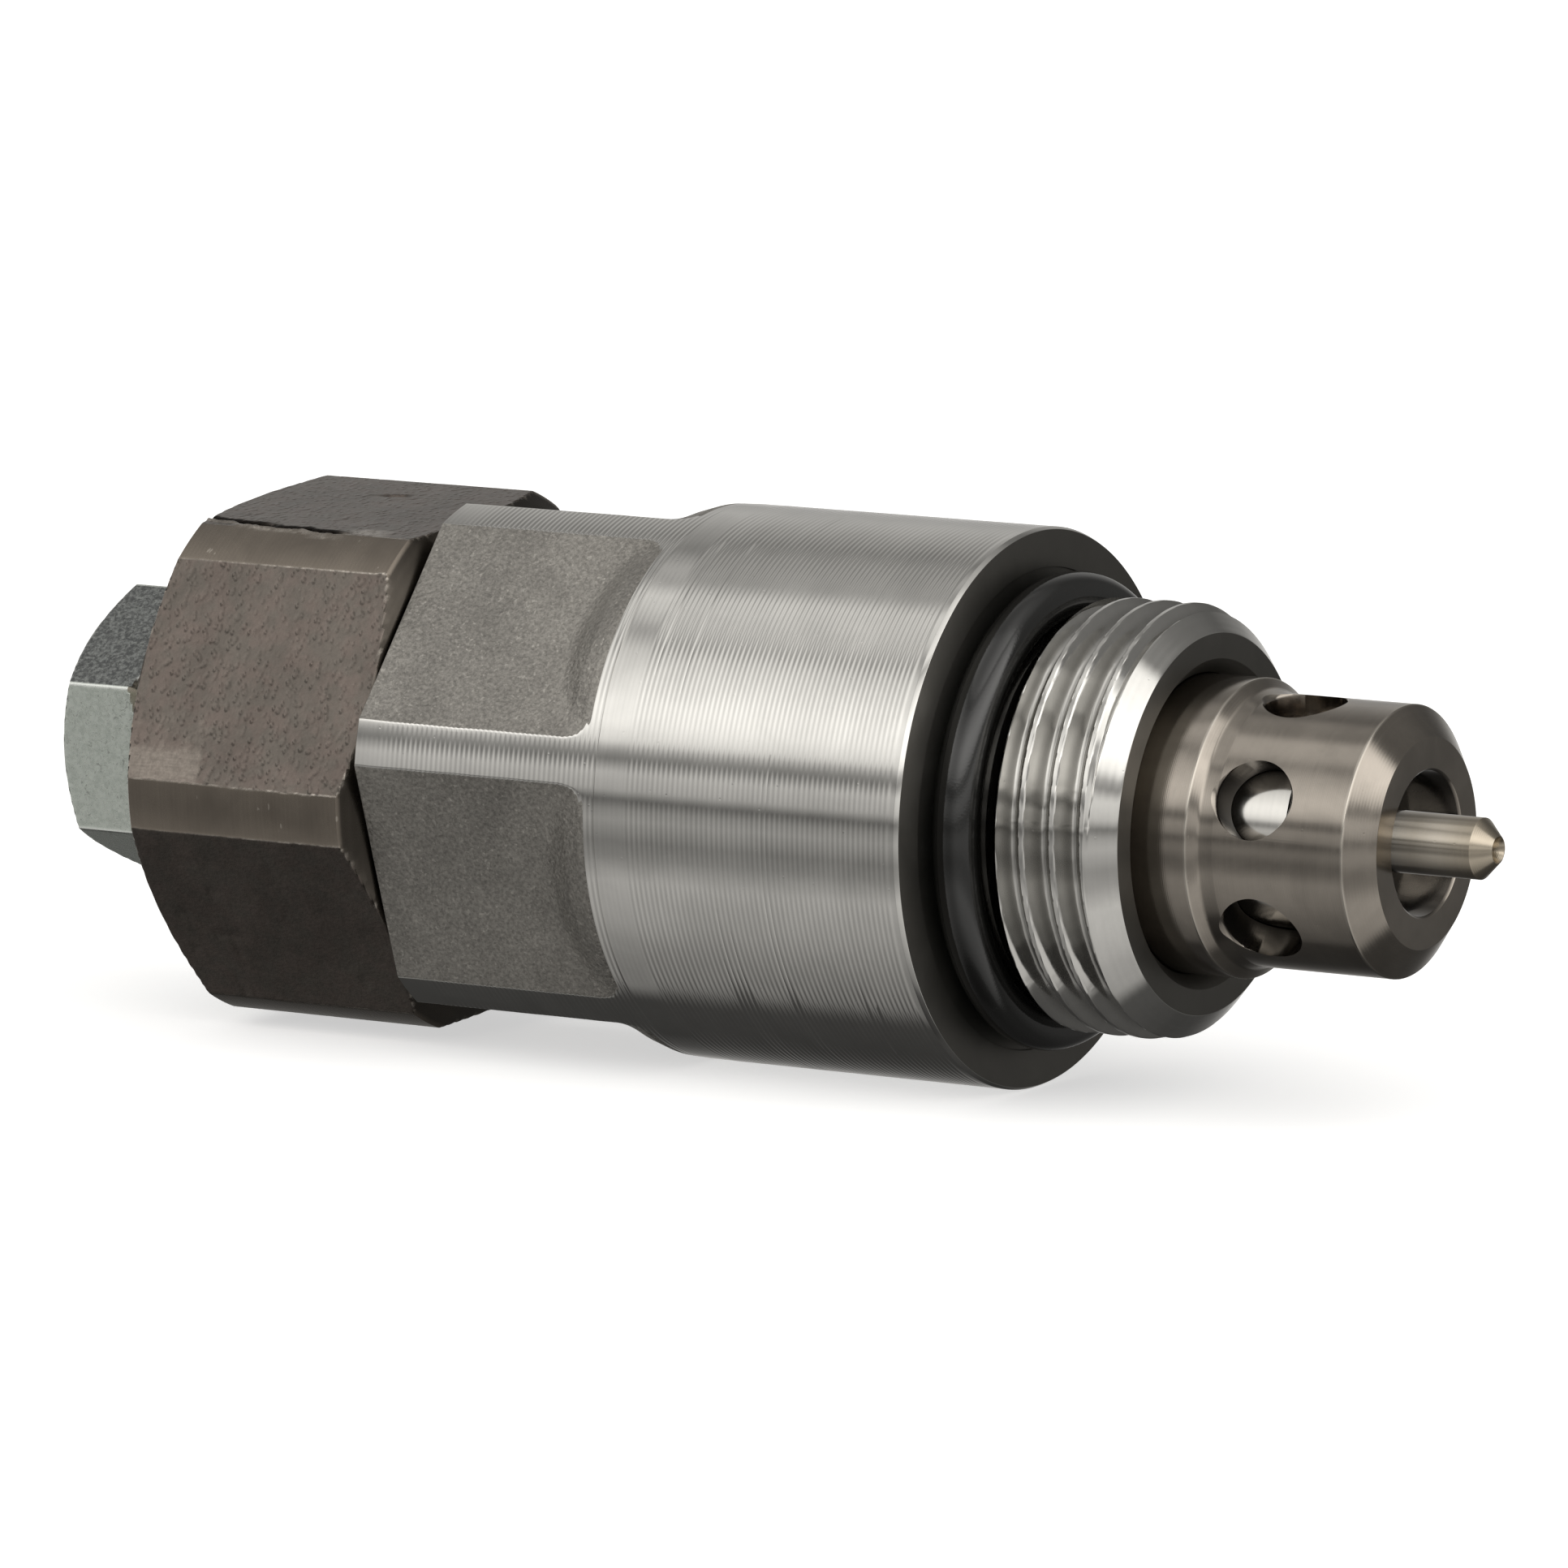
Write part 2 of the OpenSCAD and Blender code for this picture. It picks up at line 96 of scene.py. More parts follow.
# Body: end of the hex, rear of the flange, first feed groove and the spacing of the grooves
HEX_END, FLANGE_REAR, GROOVES_REAR, FEED = -27.2, -21.7, -19.4, 0.36
RING_RECESS_R, RING_RECESS = 15.0, 0.2
THREAD_R, THREAD_START, THREAD_END = 13.5, 4.6, 10.6
THREAD_PITCH, THREAD_PHASE = 2.117, 8.42
NECK_R = 11.95
FACE_R, MOUTH_R, BORE_R = 11.8, 10.2, 9.3
# Sleeve: the two outer lands with the x where each one's chamfer starts, and the bores
SEAT_LAND_X, SEAT_LAND_R = 15.3, 9.25
NOSE_LAND_X, NOSE_LAND_R = 25.6, 8.4
SLEEVE_BORE_R, INLET_R, INLET_REAR = 6.3, 4.45, 22.3
PORT_X, PORT_R, PORT_COUNT = 19.2, 2.5, 6
# Fine-threaded pieces
SCREW_BORE_R, SCREW_PITCH, SOCKET_APOTHEM = 5.05, 1.5, 2.5


# ---------------------------------------------------------------- mesh tools
def smin(a, b, k):
    """Smaller of a and b, rounded over a width k where they meet."""
    h = np.clip(0.5 + 0.5 * (b - a) / k, 0, 1)
    return b * (1 - h) + a * h - k * h * (1 - h)


def smax(a, b, k):
    """Larger of a and b, rounded over a width k where they meet."""
    return -smin(-a, -b, k)


def smooth(x, lo, hi):
    """0 at lo, 1 at hi, eased. lo may be the larger one."""
    t = np.clip((x - lo) / (hi - lo), 0, 1)
    return t * t * (3 - 2 * t)


def value_noise(p, seed):
    """Smooth noise in [-1, 1] at points p (n, 3), one feature per unit."""
    i = np.floor(p).astype(np.int64)
    f = p - i
    f = f * f * (3 - 2 * f)
    out = np.zeros(len(p))
    for dx in (0, 1):
        for dy in (0, 1):
            for dz in (0, 1):
                c = i + (dx, dy, dz)
                h = c[:, 0] * 374761393 + c[:, 1] * 668265263 + c[:, 2] * 2147483647
                h = (h + seed * 974711) & 0xFFFFFFFF
                h = ((h ^ (h >> 13)) * 1274126177) & 0xFFFFFFFF
                h = (h ^ (h >> 16)) & 0xFFFF
                w = (f[:, 0] if dx else 1 - f[:, 0]) * (f[:, 1] if dy else 1 - f[:, 1])
                out += (h / 32767.5 - 1) * w * (f[:, 2] if dz else 1 - f[:, 2])
    return out


def fbm(p, seed):
    """Three sizes of the noise above, added up, each half as big and half as strong as the last."""
    return sum(value_noise(p * 2**o, seed + o) / 2**o for o in range(3)) / 1.75


def polar(x, r, phi):
    """Points at x, radius r and angle phi, as (..., 3)."""
    a = np.radians(phi)
    x, r, a = np.broadcast_arrays(x, r, a)
    return np.stack([x, -r * np.cos(a), r * np.sin(a)], -1)


def add_marks(mesh, marks):
    """Gives the mesh one float attribute per mark, which the materials read."""
    for key, values in marks.items():
        layer = mesh.attributes.new(key, "FLOAT", "POINT")
        layer.data.foreach_set("value", np.asarray(values, np.float32).ravel())


def to_mesh(name, points, faces, sharp=22.0, marks=None):
    """Object from points in mm, smooth shaded, with edges over sharp degrees kept crisp."""
    mesh = bpy.data.meshes.new(name)
    mesh.from_pydata((np.asarray(points) * MM).tolist(), [], faces)
    mesh.update()
    mesh.polygons.foreach_set("use_smooth", [True] * len(mesh.polygons))
    mesh.set_sharp_from_angle(angle=math.radians(sharp))
    add_marks(mesh, marks or {})
    obj = bpy.data.objects.new(name, mesh)
    bpy.context.scene.collection.objects.link(obj)
    return obj


def ring_grid(name, xs, rs, phis, sharp=22.0, marks=None):
    """Closed skin of rings: xs and rs are (rows, columns), and the last ring joins the first."""
    rows, cols = rs.shape
    pts = polar(xs, rs, phis[None, :]).reshape(-1, 3)
    idx = np.arange(rows * cols).reshape(rows, cols)
    nxt = np.roll(idx, -1, 1)
    faces = np.stack([idx, np.roll(idx, -1, 0), np.roll(nxt, -1, 0), nxt], -1).reshape(-1, 4).tolist()
    return to_mesh(name, pts, faces, sharp, marks)


def tube_faces(rows, cols):
    """Faces of a skin of rings with a flat cap at each end."""
    idx = np.arange(rows * cols).reshape(rows, cols)
    nxt = np.roll(idx, -1, 1)
    faces = np.stack([idx[:-1], idx[1:], nxt[1:], nxt[:-1]], -1).reshape(-1, 4).tolist()
    return faces + [idx[0].tolist(), idx[-1, ::-1].tolist()]


class Rings:
    """Rings of a piece, collected part by part: x, radius and point marks over (rows, columns)."""

    def __init__(self, columns, *marks):
        self.columns, self.parts = columns, {key: [] for key in ("x", "r", *marks)}

    def add(self, x, r, **marks):
        """Each is one value per row or a full grid. A mark may also be one number, 0 if left out."""
        given = {"x": x, "r": r, **marks}
        for key, parts in self.parts.items():
            value = np.asarray(given.get(key, 0.0), float)
            value = value[:, None] if value.ndim == 1 else value
            parts.append(np.broadcast_to(value, (len(x), self.columns)))

    def full(self):
        return {key: np.concatenate(parts) for key, parts in self.parts.items()}


def soften(points, radius=0.12):
    """Rounds the corners of a closed [x, r] outline. A point may carry its own radius as a third number."""
    pts = [(p[0], p[1], p[2] if len(p) > 2 else radius) for p in points]
    out = []
    for i, (x, r, rad) in enumerate(pts):
        p = np.array([x, r])
        a = np.array(pts[i - 1][:2]) - p
        b = np.array(pts[(i + 1) % len(pts)][:2]) - p
        la, lb = np.linalg.norm(a), np.linalg.norm(b)
        a, b = a / la, b / lb
        cosine = float(np.clip(a @ b, -1, 1))
        turn = math.pi - math.acos(cosine)
        cut = min(rad * math.tan(turn / 2), 0.45 * la, 0.45 * lb) if rad else 0
        if cut < 1e-4:
            out.append((x, r))
            continue
        start, end = p + a * cut, p + b * cut
        for t in (0, 1 / 3, 2 / 3, 1):
            q = start * (1 - t) ** 2 + p * 2 * t * (1 - t) + end * t**2
            out.append((q[0], q[1]))
    return out


def revolve(name, outline, count=160):
    """Closed ring-shaped body from an [x, r] outline that runs towards +X on its outside."""
    prof = np.array(soften(outline))
    phis = np.arange(count) * 360.0 / count
    return ring_grid(name, np.repeat(prof[:, :1], count, 1), np.repeat(prof[:, 1:], count, 1), phis)


def hex_angles(turn, half_strip, extra=()):
    """Column angles that crowd towards the edges between the flats and the turned corner strips."""
    steps = [0, 0.3, 0.55, 0.78, 0.9, 0.96, 1.0]
    inside = [half_strip * s for s in steps]
    beyond = [half_strip + d for d in (0.15, 0.35, 0.7, 1.3)]
    flat = list(np.linspace(half_strip + 2.3, 30, 20))
    half = inside + beyond + flat
    full = sorted(set(np.round([-h for h in half[:-1]] + half, 6)))
    angles = np.concatenate([turn + 60 * k + np.array(full) for k in range(6)])
    for lo, hi, step in extra:
        angles = angles[(angles < lo - step / 2) | (angles > hi + step / 2)]
        angles = np.concatenate([angles, np.arange(lo, hi + step / 2, step)])
    return np.sort(angles)


def to_flat(phi, turn):
    """Signed angle from the middle of the nearest flat."""
    return (phi - turn) % 60 - 30


def finish_piece(obj, body, material, nodes):
    obj.data.materials.clear()
    obj.data.materials.append(material)
    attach(obj, body)
    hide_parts(*nodes)
    return obj


# ---------------------------------------------------------------- material tools
class Graph:
    """Short forms for building a node tree."""

    def __init__(self, tree):
        self.tree = tree
        tree.nodes.clear()

    def add(self, kind, inputs=None, **props):
        node = self.tree.nodes.new(kind)
        for key, value in props.items():
            setattr(node, key, value)
        for key, value in (inputs or {}).items():
            socket = node.inputs[key]
            if isinstance(value, bpy.types.NodeSocket):
                self.tree.links.new(value, socket)
            else:
                socket.default_value = value
        return node

    def math(self, op, a, b=0.0, c=0.0):
        return self.add("ShaderNodeMath", {0: a, 1: b, 2: c}, operation=op).outputs[0]

    def vector(self, op, a, b):
        return self.add("ShaderNodeVectorMath", {0: a, 1: b}, operation=op).outputs[0]

    def scaled(self, colour, factor):
        """A colour multiplied by a factor."""
        if isinstance(colour, (tuple, list)):
            colour = tuple(colour[:3])
        return self.add("ShaderNodeVectorMath", {0: colour, 3: factor}, operation="SCALE").outputs[0]

    def mm(self, stretch=(1, 1, 1)):
        """Object coordinates in millimetres, stretched."""
        coord = self.add("ShaderNodeTexCoord").outputs["Object"]
        return self.vector("MULTIPLY", coord, tuple(1000.0 * s for s in stretch))

    def noise(self, vector, scale, detail=3.0, rough=0.55, distort=0.0):
        node = self.add("ShaderNodeTexNoise", {
            "Vector": vector, "Scale": scale, "Detail": detail, "Roughness": rough, "Distortion": distort})
        return node.outputs["Fac"]

    def voronoi(self, vector, scale, feature="F1"):
        node = self.add("ShaderNodeTexVoronoi", {"Vector": vector, "Scale": scale}, feature=feature)
        return node.outputs["Distance"]

    def remap(self, value, lo, hi, to_lo=0.0, to_hi=1.0):
        """lo to hi mapped to to_lo to to_hi, eased and held at both ends."""
        inputs = {"Value": value, "From Min": lo, "From Max": hi, "To Min": to_lo, "To Max": to_hi}
        node = self.add("ShaderNodeMapRange", inputs, interpolation_type="SMOOTHSTEP")
        return node.outputs["Result"]

    def mix(self, factor, a, b):
        """Colour a where factor is 0, b where it is 1."""
        a, b = ((*c[:3], 1.0) if isinstance(c, (tuple, list)) else c for c in (a, b))
        return self.add("ShaderNodeMix", {"Factor": factor, 6: a, 7: b}, data_type="RGBA").outputs[2]

    def lerp(self, factor, a, b):
        """Number a where factor is 0, b where it is 1."""
        return self.add("ShaderNodeMix", {"Factor": factor, 2: a, 3: b}, data_type="FLOAT").outputs[0]

    def blend(self, factor, a, b):
        """Shader a where factor is 0, b where it is 1."""
        return self.add("ShaderNodeMixShader", {0: factor, 1: a, 2: b}).outputs[0]

    def axes(self):
        """Object coordinates in millimetres, one output per axis."""
        return self.add("ShaderNodeSeparateXYZ", {0: self.mm()}).outputs

    def attribute(self, name):
        return self.add("ShaderNodeAttribute", attribute_name=name).outputs["Fac"]

    def bump(self, height, distance_mm, strength=1.0, normal=None):
        inputs = {"Height": height, "Distance": distance_mm * MM, "Strength": strength}
        if normal is not None:
            inputs["Normal"] = normal
        return self.add("ShaderNodeBump", inputs).outputs["Normal"]

    def metal(self, colour, rough, normal=None, aniso=0.0, metallic=1.0, **more):
        inputs = {"Base Color": colour, "Roughness": rough, "Metallic": metallic}
        if isinstance(colour, (tuple, list)):
            inputs["Base Color"] = (*colour[:3], 1.0)
        if normal is not None:
            inputs["Normal"] = normal
        if aniso:
            tangent = self.add("ShaderNodeTangent", direction_type="RADIAL", axis="X")
            inputs["Tangent"] = tangent.outputs[0]
            inputs["Anisotropic"] = aniso
            inputs["Anisotropic Rotation"] = 0.25
        inputs.update(more)
        return self.add("ShaderNodeBsdfPrincipled", inputs).outputs[0]

    def output(self, shader):
        self.add("ShaderNodeOutputMaterial", {"Surface": shader})


def material(name):
    mat = bpy.data.materials.new(name)
    mat.use_nodes = True
    return mat, Graph(mat.node_tree)


def lathe_lines(g, pitch):
    """Fine turning marks: a height that repeats along X, slightly uneven from ring to ring."""
    x = g.axes()[0]
    drift = g.noise(g.mm((1.0, 0.12, 0.12)), 1.7, 2.0)
    phase = g.math("MULTIPLY", g.math("ADD", x, g.math("MULTIPLY", drift, 0.02)), 2 * math.pi / pitch)
    wave = g.math("SINE", phase)
    rings = g.noise(g.mm((1.0, 0.01, 0.01)), 1.9 / pitch, 3.0, 0.6)
    return g.math("ADD", g.math("MULTIPLY", wave, 0.5), g.math("MULTIPLY", rings, 0.8))


def turned_shader(g, colour, rough, pitch=0.2, depth=0.004, aniso=0.5, stain=0.12, bright=1.0):
    """Bright lathe-turned or ground steel."""
    pos = g.mm()
    clouds = g.noise(pos, 0.22, 4.0, 0.6, 0.4)
    streak = g.noise(g.mm((4.0, 0.02, 0.02)), 1.0, 3.0, 0.6)
    tone = g.math("MULTIPLY", g.remap(clouds, 0.3, 0.7, 1 - stain, 1 + stain * 0.3), bright)
    tone = g.math("MULTIPLY", tone, g.remap(streak, 0.25, 0.75, 0.975, 1.02))
    col = g.scaled(colour, tone)
    roughness = g.math("ADD", g.math("MULTIPLY", g.remap(streak, 0.3, 0.7), 0.03), rough)
    roughness = g.math("ADD", roughness, g.math("MULTIPLY", g.remap(clouds, 0.45, 0.7), 0.03))
    normal = g.bump(lathe_lines(g, pitch), depth)
    specks = g.remap(g.voronoi(pos, 1.1), 0.0, 0.10, 0.0, 1.0)
    normal = g.bump(specks, 0.006, 0.5, normal)
    return g.metal(col, roughness, normal, aniso)


def forged_shader(g, colour, rough, grain=5.0, depth=0.02, fleck=0.25):
    """Blasted forging skin: fine pits and bright flecks over slow tone changes."""
    pos = g.mm()
    slow = g.noise(pos, 0.16, 4.0, 0.6, 0.5)
    fine = g.noise(pos, grain, 3.0, 0.7)
    cells = g.voronoi(pos, grain * 0.75)
    dots = g.remap(g.noise(pos, grain * 0.8, 2.0, 0.5), 0.60, 0.74)
    tone = g.math("MULTIPLY", g.remap(slow, 0.3, 0.7, 0.86, 1.12), g.remap(fine, 0.25, 0.75, 0.68, 1.28))
    tone = g.math("ADD", tone, g.math("MULTIPLY", dots, fleck))
    col = g.scaled(colour, tone)
    normal = g.bump(g.math("ADD", fine, g.math("MULTIPLY", cells, 0.5)), depth)
    return g.metal(col, g.math("ADD", g.math("MULTIPLY", fine, 0.15), rough), normal)


# ---------------------------------------------------------------- materials
BRIGHT_STEEL, FORGED_SKIN, FACED_STEEL = (0.64, 0.63, 0.605), (0.29, 0.277, 0.255), (0.185, 0.178, 0.163)
GROUND_STEEL, BORE_SHADE_STEEL, GROUND_EDGE_HIGHLIGHT = (0.352, 0.318, 0.279), (0.042, 0.037, 0.032), (0.50, 0.462, 0.41)
POLISHED_STEEL, PIN_GROUND, PIN_TURNED = (0.74, 0.725, 0.69), (0.565, 0.555, 0.532), (0.46, 0.405, 0.325)
COAT_BROWN, COAT_RED, COAT_RUBBED = (0.150, 0.133, 0.117), (0.166, 0.138, 0.122), (0.205, 0.180, 0.158)
COAT_TORN, COAT_EDGE_HIGHLIGHT = (0.020, 0.017, 0.015), (0.46, 0.42, 0.375)
STRIP, STRIP_KNOCK, STRIP_SHADED = (0.245, 0.212, 0.178), (0.42, 0.38, 0.33), (0.085, 0.075, 0.064)
ZINC_LOW, ZINC_HIGH, ZINC_EDGE_HIGHLIGHT = (0.74, 0.80, 0.735), (0.83, 0.885, 0.82), (0.97, 0.99, 0.96)
DARK_FLAT_LOW, DARK_FLAT_HIGH, ZINC_FLECK = (0.13, 0.135, 0.135), (0.35, 0.365, 0.355), (0.34, 0.355, 0.33)


def make_body_steel():
    mat, g = material("body_steel_finish")
    turned = turned_shader(g, BRIGHT_STEEL, 0.075, FEED, 0.0012, 0.6, 0.08)
    skin = forged_shader(g, FORGED_SKIN, 0.40, 4.2, 0.05, 0.5)
    is_turned = g.remap(g.attribute("turned"), 0.45, 0.55)
    mixed = g.blend(is_turned, skin, turned)
    # Front faces: darker, with the round marks of a facing cut. The thread roots take part of this darker
    # finish as painted shade
    faced = turned_shader(g, FACED_STEEL, 0.36, 0.2, 0.001, 0.75, 0.10)
    g.output(g.blend(g.attribute("faced"), mixed, faced))
    return mat


def make_ground():
    mat, g = material("ground_steel_finish")
    outer = turned_shader(g, GROUND_STEEL, 0.13, pitch=0.12, depth=0.0008, aniso=0.3, stain=0.16)
    # Walls of the holes and the bore: a much darker copy of the steel, painted shade
    bore_shade = turned_shader(g, BORE_SHADE_STEEL, 0.30, pitch=0.2, depth=0.0008, aniso=0.3, stain=0.12)
    painted_black_reflection = g.add("ShaderNodeBsdfDiffuse", {"Color": (0.014, 0.0125, 0.011, 1.0)}).outputs[0]
    mirrored = g.add("ShaderNodeLightPath").outputs["Is Glossy Ray"]
    # Seen in the poppet, the walls of the holes are nearly black: a painted dark reflection
    bore_shade = g.blend(g.remap(mirrored, 0.0, 1.0, 0.40, 1.0), bore_shade, painted_black_reflection)
    # Rims of the two lands: a lighter copy of the steel, painted highlight
    line = turned_shader(g, GROUND_EDGE_HIGHLIGHT, 0.16, pitch=0.2, depth=0.0004, aniso=0.3, stain=0.12)
    steel = g.blend(g.attribute("bore_shade"), g.blend(g.attribute("edge"), outer, line), bore_shade)
    # The pin mirrors the studio, not the bore round it: the nose end is left out of reflections
    x, y, z = g.axes()
    radius = g.math("SQRT", g.math("ADD", g.math("POWER", y, 2.0), g.math("POWER", z, 2.0)))
    past_inlet = g.math("GREATER_THAN", x, INLET_REAR + 0.7)
    nose_end = g.math("MULTIPLY", past_inlet, g.math("LESS_THAN", radius, SLEEVE_BORE_R + 0.3))
    inside = g.add("ShaderNodeNewGeometry").outputs["Backfacing"]
    skipped = g.math("MULTIPLY", g.math("MAXIMUM", nose_end, inside), mirrored)
    clear = g.add("ShaderNodeBsdfTransparent").outputs[0]
    g.output(g.blend(skipped, steel, clear))
    return mat


def make_turned(name, colour, rough, **kw):
    mat, g = material(name)
    g.output(turned_shader(g, colour, rough, **kw))
    return mat


def make_phosphated():
    mat, g = material("phosphated_steel_finish")
    pos = g.mm()
    # Flats: brown-grey coat over a rolled skin with small raised bumps
    slow = g.noise(pos, 0.18, 4.0, 0.6, 0.5)
    fine = g.noise(pos, 3.4, 3.0, 0.65)
    hue = g.mix(g.remap(g.noise(pos, 0.7, 3.0), 0.35, 0.65), COAT_BROWN, COAT_RED)
    rubbed = g.attribute("rubbed")
    lines = g.noise(g.mm((0.25, 4.0, 4.0)), 2.0, 3.0, 0.6)
    torn = g.attribute("torn")
    hue = g.mix(g.math("MULTIPLY", rubbed, g.remap(lines, 0.35, 0.6, 0.55, 1.0)), hue, COAT_RUBBED)
    tone = g.math("MULTIPLY", g.remap(slow, 0.3, 0.7, 0.88, 1.10), g.remap(fine, 0.25, 0.75, 0.84, 1.16))
    cells = g.voronoi(g.mm((1.35, 1.0, 1.0)), 1.75, "SMOOTH_F1")
    patches = g.remap(g.noise(pos, 0.42, 2.0, 0.5), 0.24, 0.46, 0.35, 1.0)
    lumps = g.math("MULTIPLY", g.remap(cells, 0.05, 0.46, 1.0, 0.0), patches)
    lumps = g.math("MULTIPLY", lumps, g.math("SUBTRACT", 1.0, rubbed))
    # The lower flat is smoother, and the flats get darker towards the bottom: painted shade
    height = g.axes()[2]
    lumps = g.math("MULTIPLY", lumps, g.remap(height, -4.0, -1.5, 0.05, 1.0))
    tone = g.math("MULTIPLY", tone, g.remap(height, -4.0, -1.5, 0.66, 0.92))
    normal = g.bump(g.math("ADD", lumps, g.math("MULTIPLY", fine, 0.45)), 0.043)
    rough = g.lerp(rubbed, g.remap(fine, 0.3, 0.7, 0.30, 0.40), 0.26)
    hue = g.mix(torn, hue, COAT_TORN)
    flats = g.metal(g.scaled(hue, tone), g.lerp(torn, rough, 0.6), normal)
    # Turned corners and chamfers: smoother, with faint rings and a few small knocks
    knocks = g.remap(g.noise(g.mm((2.2, 0.9, 0.9)), 1.1, 2.0, 0.4), 0.72, 0.76)
    strip_hue = g.mix(knocks, STRIP, STRIP_KNOCK)
    # Painted shadow on the front chamfer, beside the body hex
    strip_hue = g.mix(g.attribute("shaded"), strip_hue, STRIP_SHADED)
    strips = turned_shader(g, strip_hue, 0.24, 0.30, 0.0015, 0.4, 0.15)
    worn = g.remap(g.attribute("turned"), 0.45, 0.55)
    body = g.blend(worn, flats, strips)
    # Painted highlight on the edges and on the lifted lip of the tear, broken up by noise
    painted_glint = g.metal(COAT_EDGE_HIGHLIGHT, g.remap(fine, 0.3, 0.7, 0.22, 0.34), normal)
    worn_off = g.remap(g.noise(pos, 1.3, 3.0), 0.35, 0.6, 0.25, 0.95)
    on_edge = g.math("MULTIPLY", g.attribute("edge"), worn_off)
    g.output(g.blend(on_edge, body, painted_glint))
    return mat


def make_zinc():
    mat, g = material("zinc_plate_finish")
    pos = g.mm()
    mottle = g.noise(pos, 2.4, 4.0, 0.7, 0.6)
    scratch = g.noise(g.mm((0.5, 2.0, 1.0)), 2.2, 2.0, 0.5, 1.5)
    clean = g.mix(g.remap(mottle, 0.35, 0.65), ZINC_LOW, ZINC_HIGH)
    # One flat: a darker, mottled colour
    blotch = g.remap(g.noise(pos, 3.4, 4.0, 0.75, 0.4), 0.40, 0.66)
    dark_flat_colour = g.mix(blotch, DARK_FLAT_LOW, DARK_FLAT_HIGH)
    col = g.mix(g.attribute("dull"), clean, dark_flat_colour)
    fleck = g.remap(g.noise(g.mm((1.6, 0.7, 1.2)), 1.7, 2.0, 0.45, 2.0), 0.655, 0.675)
    col = g.mix(g.math("MULTIPLY", fleck, 0.55), col, ZINC_FLECK)
    # Painted highlight on the corners and chamfer rims
    col = g.mix(g.attribute("edge"), col, ZINC_EDGE_HIGHLIGHT)
    rough = g.remap(mottle, 0.3, 0.7, 0.22, 0.34)
    normal = g.bump(mottle, 0.012)
    normal = g.bump(g.remap(scratch, 0.49, 0.51), 0.002, 0.6, normal)
    g.output(g.metal(col, rough, normal))
    return mat


def make_pin_steel():
    mat, g = material("pin_steel_finish")
    # Darker towards the nose bore it comes out of: painted shade
    near_bore_shade = g.remap(g.axes()[0], SLEEVE_HI[0] - 0.3, SLEEVE_HI[0] + 2.1, 0.30, 1.0)
    ground = turned_shader(g, PIN_GROUND, 0.05, 0.1, 0.0002, 0.3, 0.05, bright=near_bore_shade)
    tip = turned_shader(g, PIN_TURNED, 0.20, 0.09, 0.0015, 0.3, 0.10)
    g.output(g.blend(g.attribute("tip"), ground, tip))
    return mat


def make_rubber():
    mat, g = material("seal_rubber_finish")
    pos = g.mm()
    dust = g.remap(g.noise(pos, 1.6, 4.0, 0.7), 0.62, 0.78)
    col = g.mix(dust, (0.0065, 0.0065, 0.006), (0.022, 0.021, 0.02))
    rough = g.remap(g.noise(pos, 0.8, 3.0), 0.3, 0.7, 0.06, 0.11)
    normal = g.bump(g.noise(pos, 7.0, 3.0, 0.6), 0.005)
    g.output(g.metal(col, rough, normal, metallic=0.0, **{"Specular IOR Level": 0.8}))
    return mat


def make_plastic():
    mat, g = material("backup_plastic_finish")
    pos = g.mm()
    col = g.mix(g.noise(pos, 0.8, 3.0), (0.80, 0.785, 0.74), (0.88, 0.87, 0.83))
    normal = g.bump(g.noise(pos, 6.0, 3.0), 0.01)
    g.output(g.metal(col, 0.42, normal, metallic=0.0, **{"Subsurface Weight": 0.05}))
    return mat


def make_plain_metal(name, colour, rough):
    mat, g = material(name)
    pos = g.mm()
    n = g.noise(pos, 3.0, 3.0, 0.6)
    slow = g.noise(pos, 0.5, 3.0, 0.6)
    col = g.mix(g.remap(slow, 0.3, 0.7), tuple(c * 0.86 for c in colour), colour)
    g.output(g.metal(col, g.remap(n, 0.3, 0.7, rough - 0.05, rough + 0.07), g.bump(n, 0.006)))
    return mat


PIN_STEEL = make_pin_steel()
MATERIALS = {
    "body_steel": make_body_steel(),
    "ground_steel": make_ground(),
    "polished_steel": make_turned("polished_steel_finish", POLISHED_STEEL, 0.11,
                                  pitch=0.1, depth=0.0002, aniso=0.3, stain=0.05),
    "phosphated_steel": make_phosphated(),
    "zinc_plate": make_zinc(),
    "black_steel": make_plain_metal("black_steel_finish", (0.10, 0.098, 0.095), 0.38),
    "spring_steel": make_plain_metal("spring_steel_finish", (0.42, 0.41, 0.39), 0.28),
    "seal_rubber": make_rubber(),
    "backup_plastic": make_plastic(),
    "jet_brass": make_plain_metal("jet_brass_finish", (0.80, 0.60, 0.27), 0.25),
}
slots = {}
for sub in frame["record"]["subparts"]:
    slots[sub.get("node") or sub.get("name")] = sub.get("material_slot") or sub.get("material")
for node_name, obj in frame["nodes"].items():
    found = MATERIALS.get(slots.get(node_name))
    if found is None:
        raise SystemExit(f"no material for {node_name}: {slots.get(node_name)}")
    obj.data.materials.clear()
    obj.data.materials.append(found)


